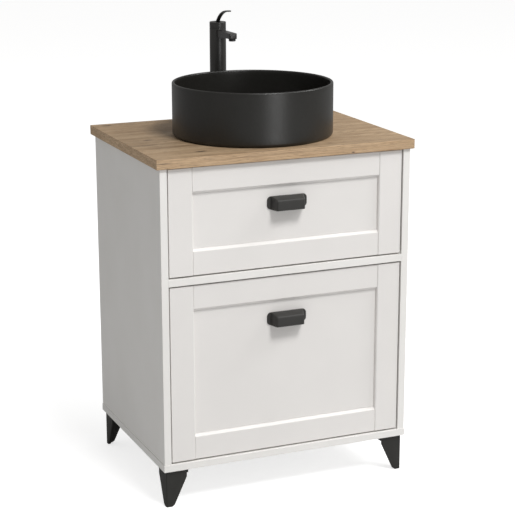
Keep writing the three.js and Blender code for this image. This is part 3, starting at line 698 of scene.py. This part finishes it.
def oak_decor(board_top):
    """Knotty oak: fine lines follow the growth rings, which arch over a crown left of the middle, bend
    round a few knots and drift slowly; broad streaks, thin fibres and dark pores lie along X. Painted light:
    the edge band below the board's upper face is painted lighter and the top is painted darker."""
    material, tree, shader = blank_material("oak_decor")
    place = add_node(tree, "ShaderNodeTexCoord").outputs["Object"]

    def maths(operation, first, second=0.0, third=0.0):
        return add_node(tree, "ShaderNodeMath", {0: first, 1: second, 2: third},
                        operation=operation).outputs[0]

    def noise(finer, detail=2.0, roughness=0.5):
        stretched = add_node(tree, "ShaderNodeVectorMath", {0: place, 1: finer}, operation="MULTIPLY")
        return add_node(tree, "ShaderNodeTexNoise", {
            "Vector": stretched.outputs[0], "Scale": 1.0, "Detail": detail,
            "Roughness": roughness}).outputs["Fac"]

    def ramp(value, low, high):
        return add_node(tree, "ShaderNodeMapRange", {"Value": value, "From Min": low,
                                                    "From Max": high}).outputs[0]

    axes = add_node(tree, "ShaderNodeSeparateXYZ", {"Vector": place}).outputs
    rings = maths("MULTIPLY_ADD", axes["Y"], 0.4, axes["Z"])
    rings = maths("MULTIPLY_ADD", noise((2.4, 7.0, 9.0)), 0.09, rings)
    rings = maths("MULTIPLY_ADD", noise((8.0, 26.0, 40.0), detail=3.0, roughness=0.6), 0.012, rings)
    crown_x = maths("MULTIPLY", maths("SUBTRACT", axes["X"], CROWN_X), CROWN_NARROW)
    crown = maths("DIVIDE", CROWN_HEIGHT, maths("MULTIPLY_ADD", crown_x, crown_x, 1.0))
    rings = maths("SUBTRACT", rings, crown)

    dark_spots = None
    for centre, size in KNOTS:
        away = add_node(tree, "ShaderNodeVectorMath", {0: place, 1: centre}, operation="SUBTRACT")
        squeezed = add_node(tree, "ShaderNodeVectorMath", {0: away.outputs[0], 1: KNOT_SQUEEZE},
                            operation="MULTIPLY")
        reach = add_node(tree, "ShaderNodeVectorMath", {0: squeezed.outputs[0]},
                         operation="LENGTH").outputs["Value"]
        near = maths("DIVIDE", reach, size)
        rings = maths("ADD", rings, maths("DIVIDE", size, maths("MULTIPLY_ADD", near, near, 1.0)))
        heart = maths("SUBTRACT", 1.0, ramp(near, 0.16, 0.55))
        dark_spots = heart if dark_spots is None else maths("MAXIMUM", dark_spots, heart)

    ring_line = ramp(maths("SINE", maths("MULTIPLY", rings, RING_PHASE)), 0.0, 1.0)
    plank = ramp(noise((1.6, 11.0, 60.0), detail=2.0), 0.40, 0.60)
    streak = ramp(noise((4.0, 48.0, 230.0), detail=3.0, roughness=0.6), 0.38, 0.62)
    dark_streak = ramp(noise((3.2, 75.0, 300.0), detail=2.0, roughness=0.6), 0.54, 0.68)
    fibre = ramp(noise((14.0, 330.0, 900.0), detail=3.0, roughness=0.7), 0.34, 0.66)
    pore = ramp(noise((50.0, 700.0, 1600.0), detail=1.0), 0.58, 0.68)
    crack = ramp(noise((16.0, 170.0, 420.0), detail=2.0), 0.64, 0.72)
    cracked_side = ramp(axes["X"], CRACKED_FROM, CRACKED_TO)

    ground = mixed(tree, streak, colour(168, 138, 104), colour(202, 173, 137))
    for mark, share, tint in ((plank, 0.5, colour(160, 129, 95)), (ring_line, 0.34, colour(126, 98, 70)),
                              (dark_streak, 0.6, colour(112, 85, 60)), (fibre, 0.42, colour(218, 191, 157)),
                              (pore, 0.5, colour(98, 75, 55)),
                              (maths("MULTIPLY", cracked_side, crack), 0.8, colour(64, 52, 44)),
                              (dark_spots, 1.0, colour(58, 46, 38))):
        ground = mixed(tree, maths("MULTIPLY", mark, share), ground, tint)
    # Painted light: the edge band is painted a tone lighter and the top a tone darker, to offset how the
    # light falls on them.
    edge_band = ramp(axes["Z"], board_top - 0.0001, board_top - 0.0005)
    tone = maths("MULTIPLY_ADD", edge_band, EDGE_PAINTED_LIGHT - TOP_PAINTED_SHADE, TOP_PAINTED_SHADE)
    painted_light_oak = add_node(tree, "ShaderNodeHueSaturation", {"Color": ground, "Value": tone})

    relief = maths("SUBTRACT", maths("MULTIPLY", fibre, 0.4), pore)
    relief = maths("SUBTRACT", relief, maths("MULTIPLY", dark_spots, 1.5))
    roughness = add_node(tree, "ShaderNodeMapRange", {"Value": fibre, "To Min": 0.66, "To Max": 0.54})
    dress(tree, shader, painted_light_oak.outputs["Color"], roughness.outputs[0], relief, OAK_RELIEF)
    return material


top_low, top_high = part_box("worktop")
oak = oak_decor(top_high[2])
basin_low, basin_high = np.array(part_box("basin"))
ring_low, ring_high = np.array(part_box("tap_base_ring"))
basin_middle = (basin_low + basin_high) / 2
tap_middle = (ring_low + ring_high) / 2
worktop = drilled_board("worktop_board", top_low, top_high,
                        [(basin_middle[:2], WASTE_HOLE), (tap_middle[:2], TAP_HOLE)],
                        (basin_middle[1] + tap_middle[1]) / 2, oak)
stands_for(ease_edges(worktop, WORKTOP_EASE, angle=50), "vanity", "oak_worktop", "worktop")


# ---- Basin: round vessel of fired clay with a matt black glaze, glued to the worktop on its flat base ----
# The wall is straight, thin and rounded over at the rim; inside, a wide hollow curve runs down to the
# floor, which falls to a shallow seat for the waste.

BASIN_WALL = 0.0065
BASIN_FLOOR = 0.012
BASIN_FOOT_ROUND = 0.008
BASIN_HOLLOW = 0.026
DRAIN_RADIUS = 0.0225
SEAT_RADIUS = 0.036
SEAT_DROP = 0.004
SEAT_STEP = 0.004
FLOOR_FALL = 0.002  # fall of the floor from the hollow to the seat
FOOT_RING = 0.030


def turned(name, profile, centre, material, steps=96, ripple=None):
    """Profile of (radius, height) points carried round a vertical axis: each point makes a circle.
    Ripple is (depth, count, lowest, highest): between two heights the radius follows a cosine."""
    profile = np.asarray(profile, float)
    turn = np.linspace(0, 2 * math.pi, steps, endpoint=False)[None]
    radius = profile[:, :1] + 0 * turn
    if ripple:
        depth, count, lowest, highest = ripple
        on_grip = (profile[:, 1:] >= lowest) & (profile[:, 1:] <= highest)
        radius = radius - on_grip * depth * (0.5 - 0.5 * np.cos(count * turn))
    loops = np.stack([centre[0] + radius * np.cos(turn), centre[1] + radius * np.sin(turn),
                      centre[2] + profile[:, 1:] + 0 * turn], -1)
    closed = bool(np.allclose(profile[0], profile[-1]))
    if closed:
        loops = loops[:-1]
    return skin(name, loops, material, joined=closed, capped=not closed)


def ringed(profile):
    """Profile that ends where it starts, for a piece with a hole through its middle."""
    return np.concatenate([profile, profile[:1]])


def matt_glaze():
    """Matt black glaze: a near-black ground, faint paler clouds where the glaze is thin, fine specks,
    and a softly pebbled surface."""
    material, tree, shader = blank_material("matt_black_glaze", Specular_IOR_Level=0.5)
    texture = add_node(tree, "ShaderNodeGroup", {"Grain": 0.0011, "Swell": 0.8, "Cloud": 0.07},
                       node_tree=fine_grain)
    place = add_node(tree, "ShaderNodeTexCoord").outputs["Object"]
    speck = add_node(tree, "ShaderNodeTexNoise", {"Vector": place, "Scale": 900.0, "Detail": 1.0})
    bright = add_node(tree, "ShaderNodeMapRange", {"Value": speck.outputs["Fac"], "From Min": 0.62,
                                                  "From Max": 0.78, "To Max": 0.6})
    cloud = mixed(tree, texture.outputs["Tone"], colour(25, 24, 21), colour(30, 29, 26))
    ground = mixed(tree, bright.outputs[0], cloud, colour(52, 51, 47))
    roughness = add_node(tree, "ShaderNodeMapRange", {"Value": texture.outputs["Height"],
                                                     "To Min": 0.27, "To Max": 0.36})
    dress(tree, shader, ground, roughness.outputs[0], texture.outputs["Height"], depth=0.00006)
    return material


def quarter(radius, height, bend, start, end, steps=8):
    """Arc of a profile about (radius, height), between two angles given in quarter turns."""
    turn = np.linspace(start, end, steps + 1) * math.pi / 2
    return np.column_stack([radius + bend * np.cos(turn), height + bend * np.sin(turn)])


glaze = matt_glaze()
basin_radius = (basin_high[0] - basin_low[0]) / 2
basin_height = basin_high[2] - basin_low[2]
hollow_low = BASIN_FLOOR + FLOOR_FALL
rim = BASIN_WALL / 2
hollow_end = basin_radius - BASIN_WALL - BASIN_HOLLOW
basin_profile = np.concatenate([
    [(DRAIN_RADIUS, 0), (DRAIN_RADIUS + FOOT_RING, 0)],
    quarter(basin_radius - BASIN_FOOT_ROUND, BASIN_FOOT_ROUND, BASIN_FOOT_ROUND, -1, 0, 10),
    [(basin_radius, height) for height in np.linspace(0.02, basin_height - 0.01, 6)],
    quarter(basin_radius - rim, basin_height - rim, rim, 0, 2, 12),
    [(basin_radius - BASIN_WALL, height) for height in np.linspace(basin_height - 0.01, 0.05, 5)],
    quarter(hollow_end, hollow_low + BASIN_HOLLOW, BASIN_HOLLOW, 0, -1, 12),
    [(radius, np.interp(radius, [SEAT_RADIUS, hollow_end], [BASIN_FLOOR, hollow_low]))
     for radius in np.linspace(hollow_end - 0.01, SEAT_RADIUS + SEAT_STEP, 7)],
    rounded([(SEAT_RADIUS + SEAT_STEP, BASIN_FLOOR), (SEAT_RADIUS + 0.001, BASIN_FLOOR),
             (SEAT_RADIUS, BASIN_FLOOR - SEAT_DROP), (SEAT_RADIUS - SEAT_STEP, BASIN_FLOOR - SEAT_DROP)],
            [0, 0.0015, 0.001, 0], 4)[1:],
    [(DRAIN_RADIUS + 0.001, BASIN_FLOOR - SEAT_DROP), (DRAIN_RADIUS, BASIN_FLOOR - SEAT_DROP - 0.001),
     (DRAIN_RADIUS, 0)]])
basin_centre = np.array([basin_middle[0], basin_middle[1], basin_low[2]])
basin = turned("basin_glazed", basin_profile, basin_centre, glaze, steps=192)
stands_for(basin, "vanity", "black_basin", "basin")


# ---- Waste: a flanged black body through the basin, with a click-clack plug, washer and back nut ----
# The body is clamped down by a brass nut that pulls a rubber washer up against the worktop.

coated_brass = grained_material("black_coated_brass", colour(37, 36, 34), colour(43, 42, 40), grain=0.0005,
                                depth=0.00002, rough=(0.32, 0.42), swell=0.4)
moulded_rubber = grained_material("moulded_rubber", colour(30, 30, 30), colour(38, 38, 37), grain=0.0004,
                                  depth=0.00003, rough=(0.7, 0.85))
machined_brass = drawn_metal("machined_brass", colour(170, 138, 78), colour(200, 170, 108),
                             finer=(60.0, 60.0, 2600.0), depth=0.00002, rough=(0.24, 0.4))
FLANGE_THICK = 0.0027
FLANGE_DISH = 0.009  # depth of the slope from the flange into the bore
FLANGE_LIP = 0.003
TUBE = 0.0205
BORE = 0.016
THREAD_PITCH = 0.0021
THREAD_DEPTH = 0.0007
THREAD_ROWS = 6  # loops of points for each turn of the thread
THREAD_START = 0.001  # the ridge grows over this height at the lower end
THREAD_END = 0.003  # and fades over this height at the upper end
TIP_CHAMFER = 0.0003
TIP_HEIGHT = 0.0006
PLUG_STEM = 0.005
PLUG_CAP_THICK = 0.0066
PLUG_DOME = 0.0024
PLUG_LIP = 0.0020
PLUG_EDGE = 0.0026
NUT_PLAY = 0.0003
NUT_WAVE = 0.0022
NUT_LUGS = 8


def threaded(name, radius, bore, low, high, centre, material, steps=48):
    """Threaded tube: on the outside the radius follows a cosine of the height less the turn, so the
    ridge climbs one pitch for each turn and fades at both ends; the inside is plain. A bore of 0 makes
    a rod."""
    rows = int((high - low) / THREAD_PITCH * THREAD_ROWS)
    height = np.linspace(low, high, rows)[:, None]
    turn = np.linspace(0, 2 * math.pi, steps, endpoint=False)[None]
    ridge = 0.5 + 0.5 * np.cos(2 * math.pi * height / THREAD_PITCH - turn)
    fade = np.clip((high - height) / THREAD_END, 0, 1) * np.clip((height - low) / THREAD_START, 0, 1)
    tip = 1 - np.clip((height - low) / TIP_HEIGHT, 0, 1)
    outside = radius - THREAD_DEPTH * (1 - ridge) * fade - TIP_CHAMFER * tip
    grid = np.stack([centre[0] + outside * np.cos(turn), centre[1] + outside * np.sin(turn),
                     height + 0 * turn], -1)
    ends = [np.stack([centre[0] + bore * np.cos(turn[0]), centre[1] + bore * np.sin(turn[0]),
                      np.full(steps, z)], -1) for z in (low, high)]
    loops = np.concatenate([ends[:1], grid, ends[1:]])
    return skin(name, loops, material, joined=bore > 0, capped=bore == 0)


waste_centre = (basin_middle[0], basin_middle[1], 0.0)
waste_low, waste_high = np.array(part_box("waste_body"))
flange = waste_high[0]
flange_low = waste_high[2] - FLANGE_THICK
flange_profile = rounded([(BORE, flange_low), (flange, flange_low), (flange, waste_high[2]),
                          (BORE + FLANGE_LIP, waste_high[2]), (BORE, waste_high[2] - FLANGE_DISH)],
                         [0, 0.0004, 0.0014, 0.0012, 0.002], 4)
stands_for(turned("waste_flange", ringed(flange_profile), waste_centre, coated_brass),
           "vanity", "black_waste")
stands_for(threaded("waste_threaded_tube", TUBE, BORE, waste_low[2], flange_low, waste_centre, coated_brass),
           "vanity", "black_waste", "waste_body")

plug_low, plug_high = np.array(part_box("waste_plug"))
cap_radius = plug_high[0]
plug_cap_low = plug_high[2] - PLUG_CAP_THICK
dome = [(radius, plug_high[2] - PLUG_DOME * (radius / cap_radius) ** 2) for radius in
        np.linspace(cap_radius - PLUG_EDGE, 0, 12)]
plug_profile = np.concatenate([
    [(0, plug_low[2]), (PLUG_STEM, plug_low[2]), (PLUG_STEM, plug_cap_low)],
    rounded([(PLUG_STEM, plug_cap_low), (cap_radius, plug_cap_low), (cap_radius, plug_high[2] - PLUG_LIP),
             (cap_radius - PLUG_EDGE, dome[0][1])], [0.001, 0.0008, 0.0012, 0], 4),
    dome])
stands_for(turned("waste_plug_cap", plug_profile, waste_centre, coated_brass), "plug", "black_waste",
           "waste_plug")

inner = TUBE + NUT_PLAY
for node, material, finish, lugs in (("waste_washer", moulded_rubber, "rubber_washer", 0),
                                     ("waste_nut", machined_brass, "brass_fitting", NUT_LUGS)):
    low, high = np.array(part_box(node))
    ring_profile = rounded([(inner, low[2]), (high[0], low[2]), (high[0], high[2]), (inner, high[2])],
                           [0.0003, 0.0009, 0.0009, 0.0003], 3)
    sides = (NUT_WAVE, lugs, low[2], high[2]) if lugs else None
    stands_for(turned(node + "_ring", ringed(ring_profile), waste_centre, material, ripple=sides),
               "vanity", finish, node)


# ---- Bottle trap: white polypropylene, hand-tightened with ribbed collars ----
# The tail pipe drops from the waste into the head; the cup unscrews from below for cleaning, and a
# pipe runs back from the head to the wall.

trap_plastic = grained_material("white_polypropylene", colour(228, 229, 227), colour(236, 236, 234),
                                grain=0.002, depth=0.00003, rough=(0.26, 0.36), swell=0.6, cloud=0.06)
PIPE_WALL = 0.0016
PIPE_PLAY = 0.0003
COLLAR_RIBS = 24
COLLAR_RIB = 0.0011
COLLAR_EDGE = 0.0014
HEAD_WALL = 0.005
NECK_WALL = 0.006
NECK_HEIGHT = 0.008
NECK_DEPTH = 0.012
SHOULDER_UP = 0.014  # the head's shoulder starts this far above the outlet's axis
BORE_UP = 0.009  # its inside reaches this far above the axis
BORE_DOWN = 0.004  # and this far below
COLLAR_DOWN = 0.006  # the ribbed collar ends this far below the axis
SOCKET_LENGTH = 0.014
SOCKET_STEP = 0.0025
CUP_WALL = 0.0025
CUP_PLAY = 0.001
CUP_RIBS = 18
CUP_RIB = 0.0012
GRIP_FROM, GRIP_TO = 0.0085, 0.030  # heights of the ribbed grip above the cup's foot

tail_low, tail_high = np.array(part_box("trap_tailpipe"))
tail = tail_high[0]
tail_profile = rounded([(tail - PIPE_WALL, tail_low[2]), (tail, tail_low[2]), (tail, tail_high[2]),
                        (tail - PIPE_WALL, tail_high[2])], 0.0004, 3)
stands_for(turned("trap_tailpipe_tube", ringed(tail_profile), waste_centre, trap_plastic, steps=64),
           "vanity", "trap_plastic", "trap_tailpipe")

head_low, head_high = np.array(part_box("trap_head"))
outlet_low, outlet_high = np.array(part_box("trap_outlet_pipe"))
cup_low, cup_high = np.array(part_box("trap_cup"))
head = head_high[0]
outlet_z = (outlet_low[2] + outlet_high[2]) / 2
pipe = outlet_high[0]
neck = pipe + NECK_WALL
bore = pipe + PIPE_PLAY
cup_bore = cup_high[0] + CUP_PLAY
head_bore = head - HEAD_WALL
collar_low = head_low[2] + COLLAR_EDGE
collar_high = outlet_z - COLLAR_DOWN
head_outline = rounded(
    [(cup_bore, head_low[2]), (head, head_low[2]), (head, outlet_z + SHOULDER_UP),
     (neck, head_high[2] - NECK_HEIGHT), (neck, head_high[2]), (bore, head_high[2]),
     (bore, head_high[2] - NECK_DEPTH), (head_bore, outlet_z + BORE_UP),
     (head_bore, outlet_z - BORE_DOWN), (cup_bore, collar_high)],
    [0.0008, 0.0012, 0.006, 0.001, 0.0012, 0.0006, 0.0004, 0.004, 0.001, 0.001], 5)
foot_points = 12
collar_wall = [(head, height) for height in np.linspace(collar_low, collar_high + 0.001, 5)]
head_profile = np.concatenate([head_outline[:foot_points], collar_wall, head_outline[foot_points:]])
head_shell = turned("trap_head_shell", ringed(head_profile), waste_centre, trap_plastic, steps=144,
                    ripple=(COLLAR_RIB, COLLAR_RIBS, collar_low, collar_high))
stands_for(head_shell, "vanity", "trap_plastic", "trap_head")


def level_tube(name, radius, bore, start, end, ripple=0.0, edge=0.0006):
    """Tube whose axis runs along Y at the outlet's height: circles of the outer and then the inner
    radius; a ripple lets the outer radius follow a cosine round the tube."""
    turn = np.linspace(0, 2 * math.pi, 96, endpoint=False)
    ribs = ripple * (0.5 - 0.5 * np.cos(COLLAR_RIBS * turn))
    rings = [(radius - edge, start, 0), (radius, start + edge, 1), (radius, end - edge, 1),
             (radius - edge, end, 0), (bore, end, 0), (bore, start, 0)]
    loops = [np.column_stack([basin_middle[0] + (size - ribs * rib) * np.cos(turn),
                              np.full(len(turn), y), outlet_z + (size - ribs * rib) * np.sin(turn)])
             for size, y, rib in rings]
    return skin(name, loops, trap_plastic, joined=True)


socket_end = head_high[1]
stands_for(level_tube("trap_socket_collar", neck, bore, socket_end - SOCKET_LENGTH, socket_end, COLLAR_RIB),
           "vanity", "trap_plastic")
stands_for(level_tube("trap_socket_branch", neck - SOCKET_STEP, pipe + 0.0004, basin_middle[1] + head - 0.004,
                      socket_end - SOCKET_LENGTH - 0.0005), "vanity", "trap_plastic")
stands_for(level_tube("trap_outlet_tube", pipe, pipe - PIPE_WALL, outlet_low[1], outlet_high[1], edge=0.0003),
           "vanity", "trap_plastic", "trap_outlet_pipe")

cup = cup_high[0]
cup_bed = cup_low[2] + CUP_WALL
cup_outline = rounded([(0, cup_low[2]), (cup, cup_low[2]), (cup, cup_high[2]), (cup - CUP_WALL, cup_high[2]),
                       (cup - CUP_WALL, cup_bed), (0, cup_bed)],
                      [0, 0.008, 0.0006, 0.0006, 0.006, 0], 6)
grip_low = cup_low[2] + GRIP_FROM
grip_high = cup_low[2] + GRIP_TO
grip_wall = [(cup, height) for height in [*np.linspace(grip_low, grip_high, 6), grip_high + 0.0012]]
foot_points = 8
cup_profile = np.concatenate([cup_outline[:foot_points], grip_wall, cup_outline[foot_points:]])
stands_for(turned("trap_cup_shell", cup_profile, waste_centre, trap_plastic, steps=144,
                  ripple=(CUP_RIB, CUP_RIBS, grip_low + 0.001, grip_high)),
           "vanity", "trap_plastic", "trap_cup")


# ---- Tap: brass mixer with a matt black coat; a straight column with a flat spout near the top ----
# The cap above the spout swivels for hot and cold, and a thin curved lever tips up to open the water.
# Under the worktop a threaded shank and a hexagon nut hold it.

tap_coat = grained_material("matt_black_tap_coat", colour(42, 41, 39), colour(48, 47, 45), grain=0.00045,
                            depth=0.00002, rough=(0.27, 0.34), swell=0.4, cloud=0.05)
aerator_plastic = grained_material("aerator_plastic", colour(46, 46, 46), colour(54, 54, 54), grain=0.0003,
                                   depth=0.00004, rough=(0.45, 0.6))
SHANK_PLAY = 0.0003
BASE_BORE = 0.0143
COLUMN_EDGE = 0.00035

tap_foot = np.array([tap_middle[0], tap_middle[1], 0.0])
column_low, column_high = np.array(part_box("tap_column"))
spout_low, spout_high = np.array(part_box("tap_spout"))
column = column_high[0]

base_profile = rounded([(BASE_BORE, ring_low[2]), (ring_high[0], ring_low[2]), (ring_high[0], ring_high[2]),
                        (BASE_BORE, ring_high[2])], [0.0002, 0.0003, 0.0014, 0.0002], 5)
stands_for(turned("tap_base_ring_turned", ringed(base_profile), tap_foot, tap_coat),
           "vanity", "black_tap", "tap_base_ring")
column_profile = rounded([(0, column_low[2]), (column, column_low[2]), (column, column_high[2]),
                          (0, column_high[2])], [0, COLUMN_EDGE, COLUMN_EDGE, 0], 4)
stands_for(turned("tap_column_turned", column_profile, tap_foot, tap_coat), "vanity", "black_tap",
           "tap_column")

SPOUT_TIP_DEPTH = 0.0128
SPOUT_TIP_FLAT = 0.020
SPOUT_ROUND = 0.0011
SPOUT_BLEND = 0.001  # the taper ends over twice this length
SPOUT_SET_IN = 0.004  # the root reaches this far into the column
NOSE_LENGTH = 0.006
NOSE_NARROWS = 0.0042
NOSE_DROPS = 0.0050
NOSE_RISES = 0.0006
NOSE_ROUNDS = 0.0008


def spout_loop(y, half, low, high, bend):
    """Upright rectangle with rounded corners at a place along the spout."""
    section = rounded([(-half, low), (half, low), (half, high), (-half, high)], bend, 5)
    return across_y(section + (tap_foot[0], 0), y)


half_width = (spout_high[0] - spout_low[0]) / 2
tip_y = spout_low[1]
tip_low = spout_high[2] - SPOUT_TIP_DEPTH
column_front = tap_foot[1] - column
taper_start = tip_y + SPOUT_TIP_FLAT
loops = []
for y in (column_front + SPOUT_SET_IN, column_front - SPOUT_SET_IN, taper_start + SPOUT_BLEND):
    share = (tap_foot[1] - y) / (tap_foot[1] - taper_start)
    low = spout_low[2] + share * (tip_low - spout_low[2])
    loops.append(spout_loop(y, half_width, low, spout_high[2], SPOUT_ROUND))
loops.append(spout_loop(taper_start - SPOUT_BLEND, half_width, tip_low, spout_high[2], SPOUT_ROUND))
for turn in np.linspace(0, math.pi / 2, 9):
    nose = 1 - math.cos(turn)
    loops.append(spout_loop(tip_y + NOSE_LENGTH * (1 - math.sin(turn)), half_width - NOSE_NARROWS * nose,
                            tip_low + NOSE_RISES * nose, spout_high[2] - NOSE_DROPS * nose,
                            SPOUT_ROUND + NOSE_ROUNDS * nose))
stands_for(skin("tap_spout_bar", loops, tap_coat), "vanity", "black_tap", "tap_spout")

aerator_low, aerator_high = np.array(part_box("tap_aerator"))
aerator_middle = (aerator_low + aerator_high) / 2
aerator_radius = (aerator_high[0] - aerator_low[0]) / 2
aerator_centre = (aerator_middle[0], aerator_middle[1], 0.0)
AERATOR_BORE = 0.005
AERATOR_RECESS = 0.003
AERATOR_GRIP = (0.0004, 20, aerator_low[2] + 0.0008, aerator_high[2] - 0.0006)
screen_z = aerator_low[2] + AERATOR_RECESS
aerator_profile = rounded([(0, screen_z), (AERATOR_BORE, screen_z), (AERATOR_BORE, aerator_low[2]),
                           (aerator_radius, aerator_low[2]), (aerator_radius, aerator_high[2]),
                           (0, aerator_high[2])], [0, 0.0002, 0.0008, 0.0006, 0.0002, 0], 4)
stands_for(turned("tap_aerator_ring", aerator_profile, aerator_centre, aerator_plastic, ripple=AERATOR_GRIP),
           "vanity", "aerator", "tap_aerator")

cap_low, cap_high = np.array(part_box("tap_cap"))
SLOT_HALF = 0.0053
SLOT_FRONT = -0.011
SLOT_REAR = 0.010
SLOT_EDGE = 0.0004
SLOT_REACH = 0.006  # about how far the slot's wall stands from the axis
CAP_ROUND = 0.0012
CAP_FOOT_EDGE = 0.0003
CAP_EASE = 0.0002


def tap_cap():
    """Cap with a slot right through it: each loop is a mix of the slot's rectangle and a circle, taken
    at the same directions from the axis, up the slot's wall, over the top, down the outside and back."""
    turn = np.linspace(0, 2 * math.pi, 128, endpoint=False)
    corners = [math.atan2(y, x) % (2 * math.pi) for x in (-SLOT_HALF, SLOT_HALF)
               for y in (SLOT_FRONT, SLOT_REAR)]
    turn = np.unique(np.concatenate([turn, corners]))
    ahead = np.column_stack([np.cos(turn), np.sin(turn)])
    side_reach = SLOT_HALF / np.maximum(np.abs(ahead[:, 0]), 1e-9)
    end_reach = np.where(ahead[:, 1] < 0, -SLOT_FRONT, SLOT_REAR) / np.maximum(np.abs(ahead[:, 1]), 1e-9)
    slot = ahead * np.minimum(side_reach, end_reach)[:, None]
    widened = slot * (1 + SLOT_EDGE / SLOT_REACH)
    stack = [(slot, cap_low[2]), (slot, cap_high[2] - SLOT_EDGE), (widened, cap_high[2])]
    for bend in np.linspace(0, math.pi / 2, 6):
        stack.append((ahead * (column - CAP_ROUND * (1 - math.sin(bend))),
                      cap_high[2] - CAP_ROUND * (1 - math.cos(bend))))
    stack.append((ahead * column, cap_low[2] + CAP_FOOT_EDGE))
    stack.append((ahead * (column - CAP_FOOT_EDGE), cap_low[2]))
    loops = [at_height(tap_foot[:2] + plan, z) for plan, z in stack]
    made = skin("tap_cap_slotted", loops, tap_coat, joined=True)
    return ease_edges(made, CAP_EASE, angle=40)


stands_for(tap_cap(), "tap_handle", "black_tap", "tap_cap")

lever_low, lever_high = np.array(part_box("tap_lever"))
LEVER_PIVOT = cap_low[2] + 0.0046
LEVER_THICK = 0.0040
LEVER_TIP_THICK = 0.0030
LEVER_HUB = 0.0038
LEVER_ROUND = 0.0012
LEVER_BEND = (-0.024, 0.0295)  # forward and up from the cap, as the next one
LEVER_TIP = (-0.072, 0.0305)
STEM_OFFSET = 0.0005
STEM_POINTS = 3
CURVE_POINTS = 25
TIP_SHARES = (0.985, 0.93, 0.8)
TIP_LENGTH = 0.0012
TIP_TUCK = 0.0002
HUB_EDGE = 0.0003


def lever_blade():
    """Ribbon carried along a line: straight up from the pivot, then a quadratic curve that leans over
    and levels out. The section is a rounded rectangle square to the line, thinner towards the tip, where
    the last loops shrink along a circle."""
    start = np.array([0.0, cap_high[2]])
    bend = start + LEVER_BEND
    tip = start + LEVER_TIP
    t = np.linspace(0, 1, CURVE_POINTS)[:, None]
    curve = (1 - t) ** 2 * start + 2 * t * (1 - t) * bend + t ** 2 * tip
    heading = 2 * (1 - t) * (bend - start) + 2 * t * (tip - bend)
    up = np.linspace(0, 0.55, STEM_POINTS)[:, None]
    stem = np.array([STEM_OFFSET, LEVER_PIVOT]) + up * (start - (0.0, LEVER_PIVOT))
    line = np.concatenate([stem, curve])
    heading = np.concatenate([np.tile((0.0, 1.0), (STEM_POINTS, 1)), heading])
    heading /= np.linalg.norm(heading, axis=1)[:, None]
    across = np.column_stack([-heading[:, 1], heading[:, 0]])
    share = np.concatenate([np.zeros(STEM_POINTS), t[:, 0]])
    half_thick = (LEVER_THICK + (LEVER_TIP_THICK - LEVER_THICK) * share) / 2
    wide = (lever_high[0] - lever_low[0]) / 2
    loops = []
    for place, normal, thick in zip(line, across, half_thick):
        section = rounded([(-wide, -thick), (wide, -thick), (wide, thick), (-wide, thick)], LEVER_ROUND, 4)
        side = place + section[:, 1:] * normal
        loops.append(np.column_stack([tap_foot[0] + section[:, 0], tap_foot[1] + side[:, 0], side[:, 1]]))
    last = loops[-1]
    tip_middle = last.mean(0)
    for shrink in TIP_SHARES:
        inset = (last - tip_middle) * shrink + tip_middle
        inset[:, 1] -= TIP_LENGTH * math.sqrt(1 - shrink ** 2) - TIP_TUCK
        loops.append(inset)
    return skin("tap_lever_blade", loops, tap_coat)


def lever_hub():
    """Short round bar along X at the pivot: circles with eased ends."""
    turn = np.linspace(0, 2 * math.pi, 40, endpoint=False)
    half = (lever_high[0] - lever_low[0]) / 2
    rings = [(-half, LEVER_HUB - HUB_EDGE), (-half + HUB_EDGE, LEVER_HUB), (half - HUB_EDGE, LEVER_HUB),
             (half, LEVER_HUB - HUB_EDGE)]
    loops = [np.column_stack([np.full(len(turn), tap_foot[0] + x), tap_foot[1] + radius * np.cos(turn),
                              LEVER_PIVOT + radius * np.sin(turn)]) for x, radius in rings]
    return skin("tap_lever_hub", loops, tap_coat)


stands_for(lever_blade(), "lever", "black_tap", "tap_lever")
stands_for(lever_hub(), "lever", "black_tap")

NUT_EASE = 0.0006
shank_low, shank_high = np.array(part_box("tap_shank"))
stands_for(threaded("tap_shank_threaded", shank_high[0], 0.0, shank_low[2], shank_high[2], tap_foot,
                    machined_brass), "vanity", "brass_fitting", "tap_shank")
nut_low, nut_high = np.array(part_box("tap_nut"))
turn = np.radians(np.arange(0, 360, 60))
flats = np.column_stack([np.cos(turn), np.sin(turn)]) * nut_high[0]
hexagon = np.concatenate([np.linspace(a, b, 8, endpoint=False)
                          for a, b in zip(flats, np.roll(flats, -1, 0))])
nut_bore = hexagon / np.linalg.norm(hexagon, axis=1)[:, None] * (shank_high[0] + SHANK_PLAY)
nut_loops = [at_height(tap_foot[:2] + plan, z)
             for plan, z in ((nut_bore, nut_low[2]), (hexagon, nut_low[2]),
                             (hexagon, nut_high[2]), (nut_bore, nut_high[2]))]
stands_for(ease_edges(skin("tap_nut_hexagon", nut_loops, machined_brass, joined=True), NUT_EASE, angle=40),
           "vanity", "brass_fitting", "tap_nut")
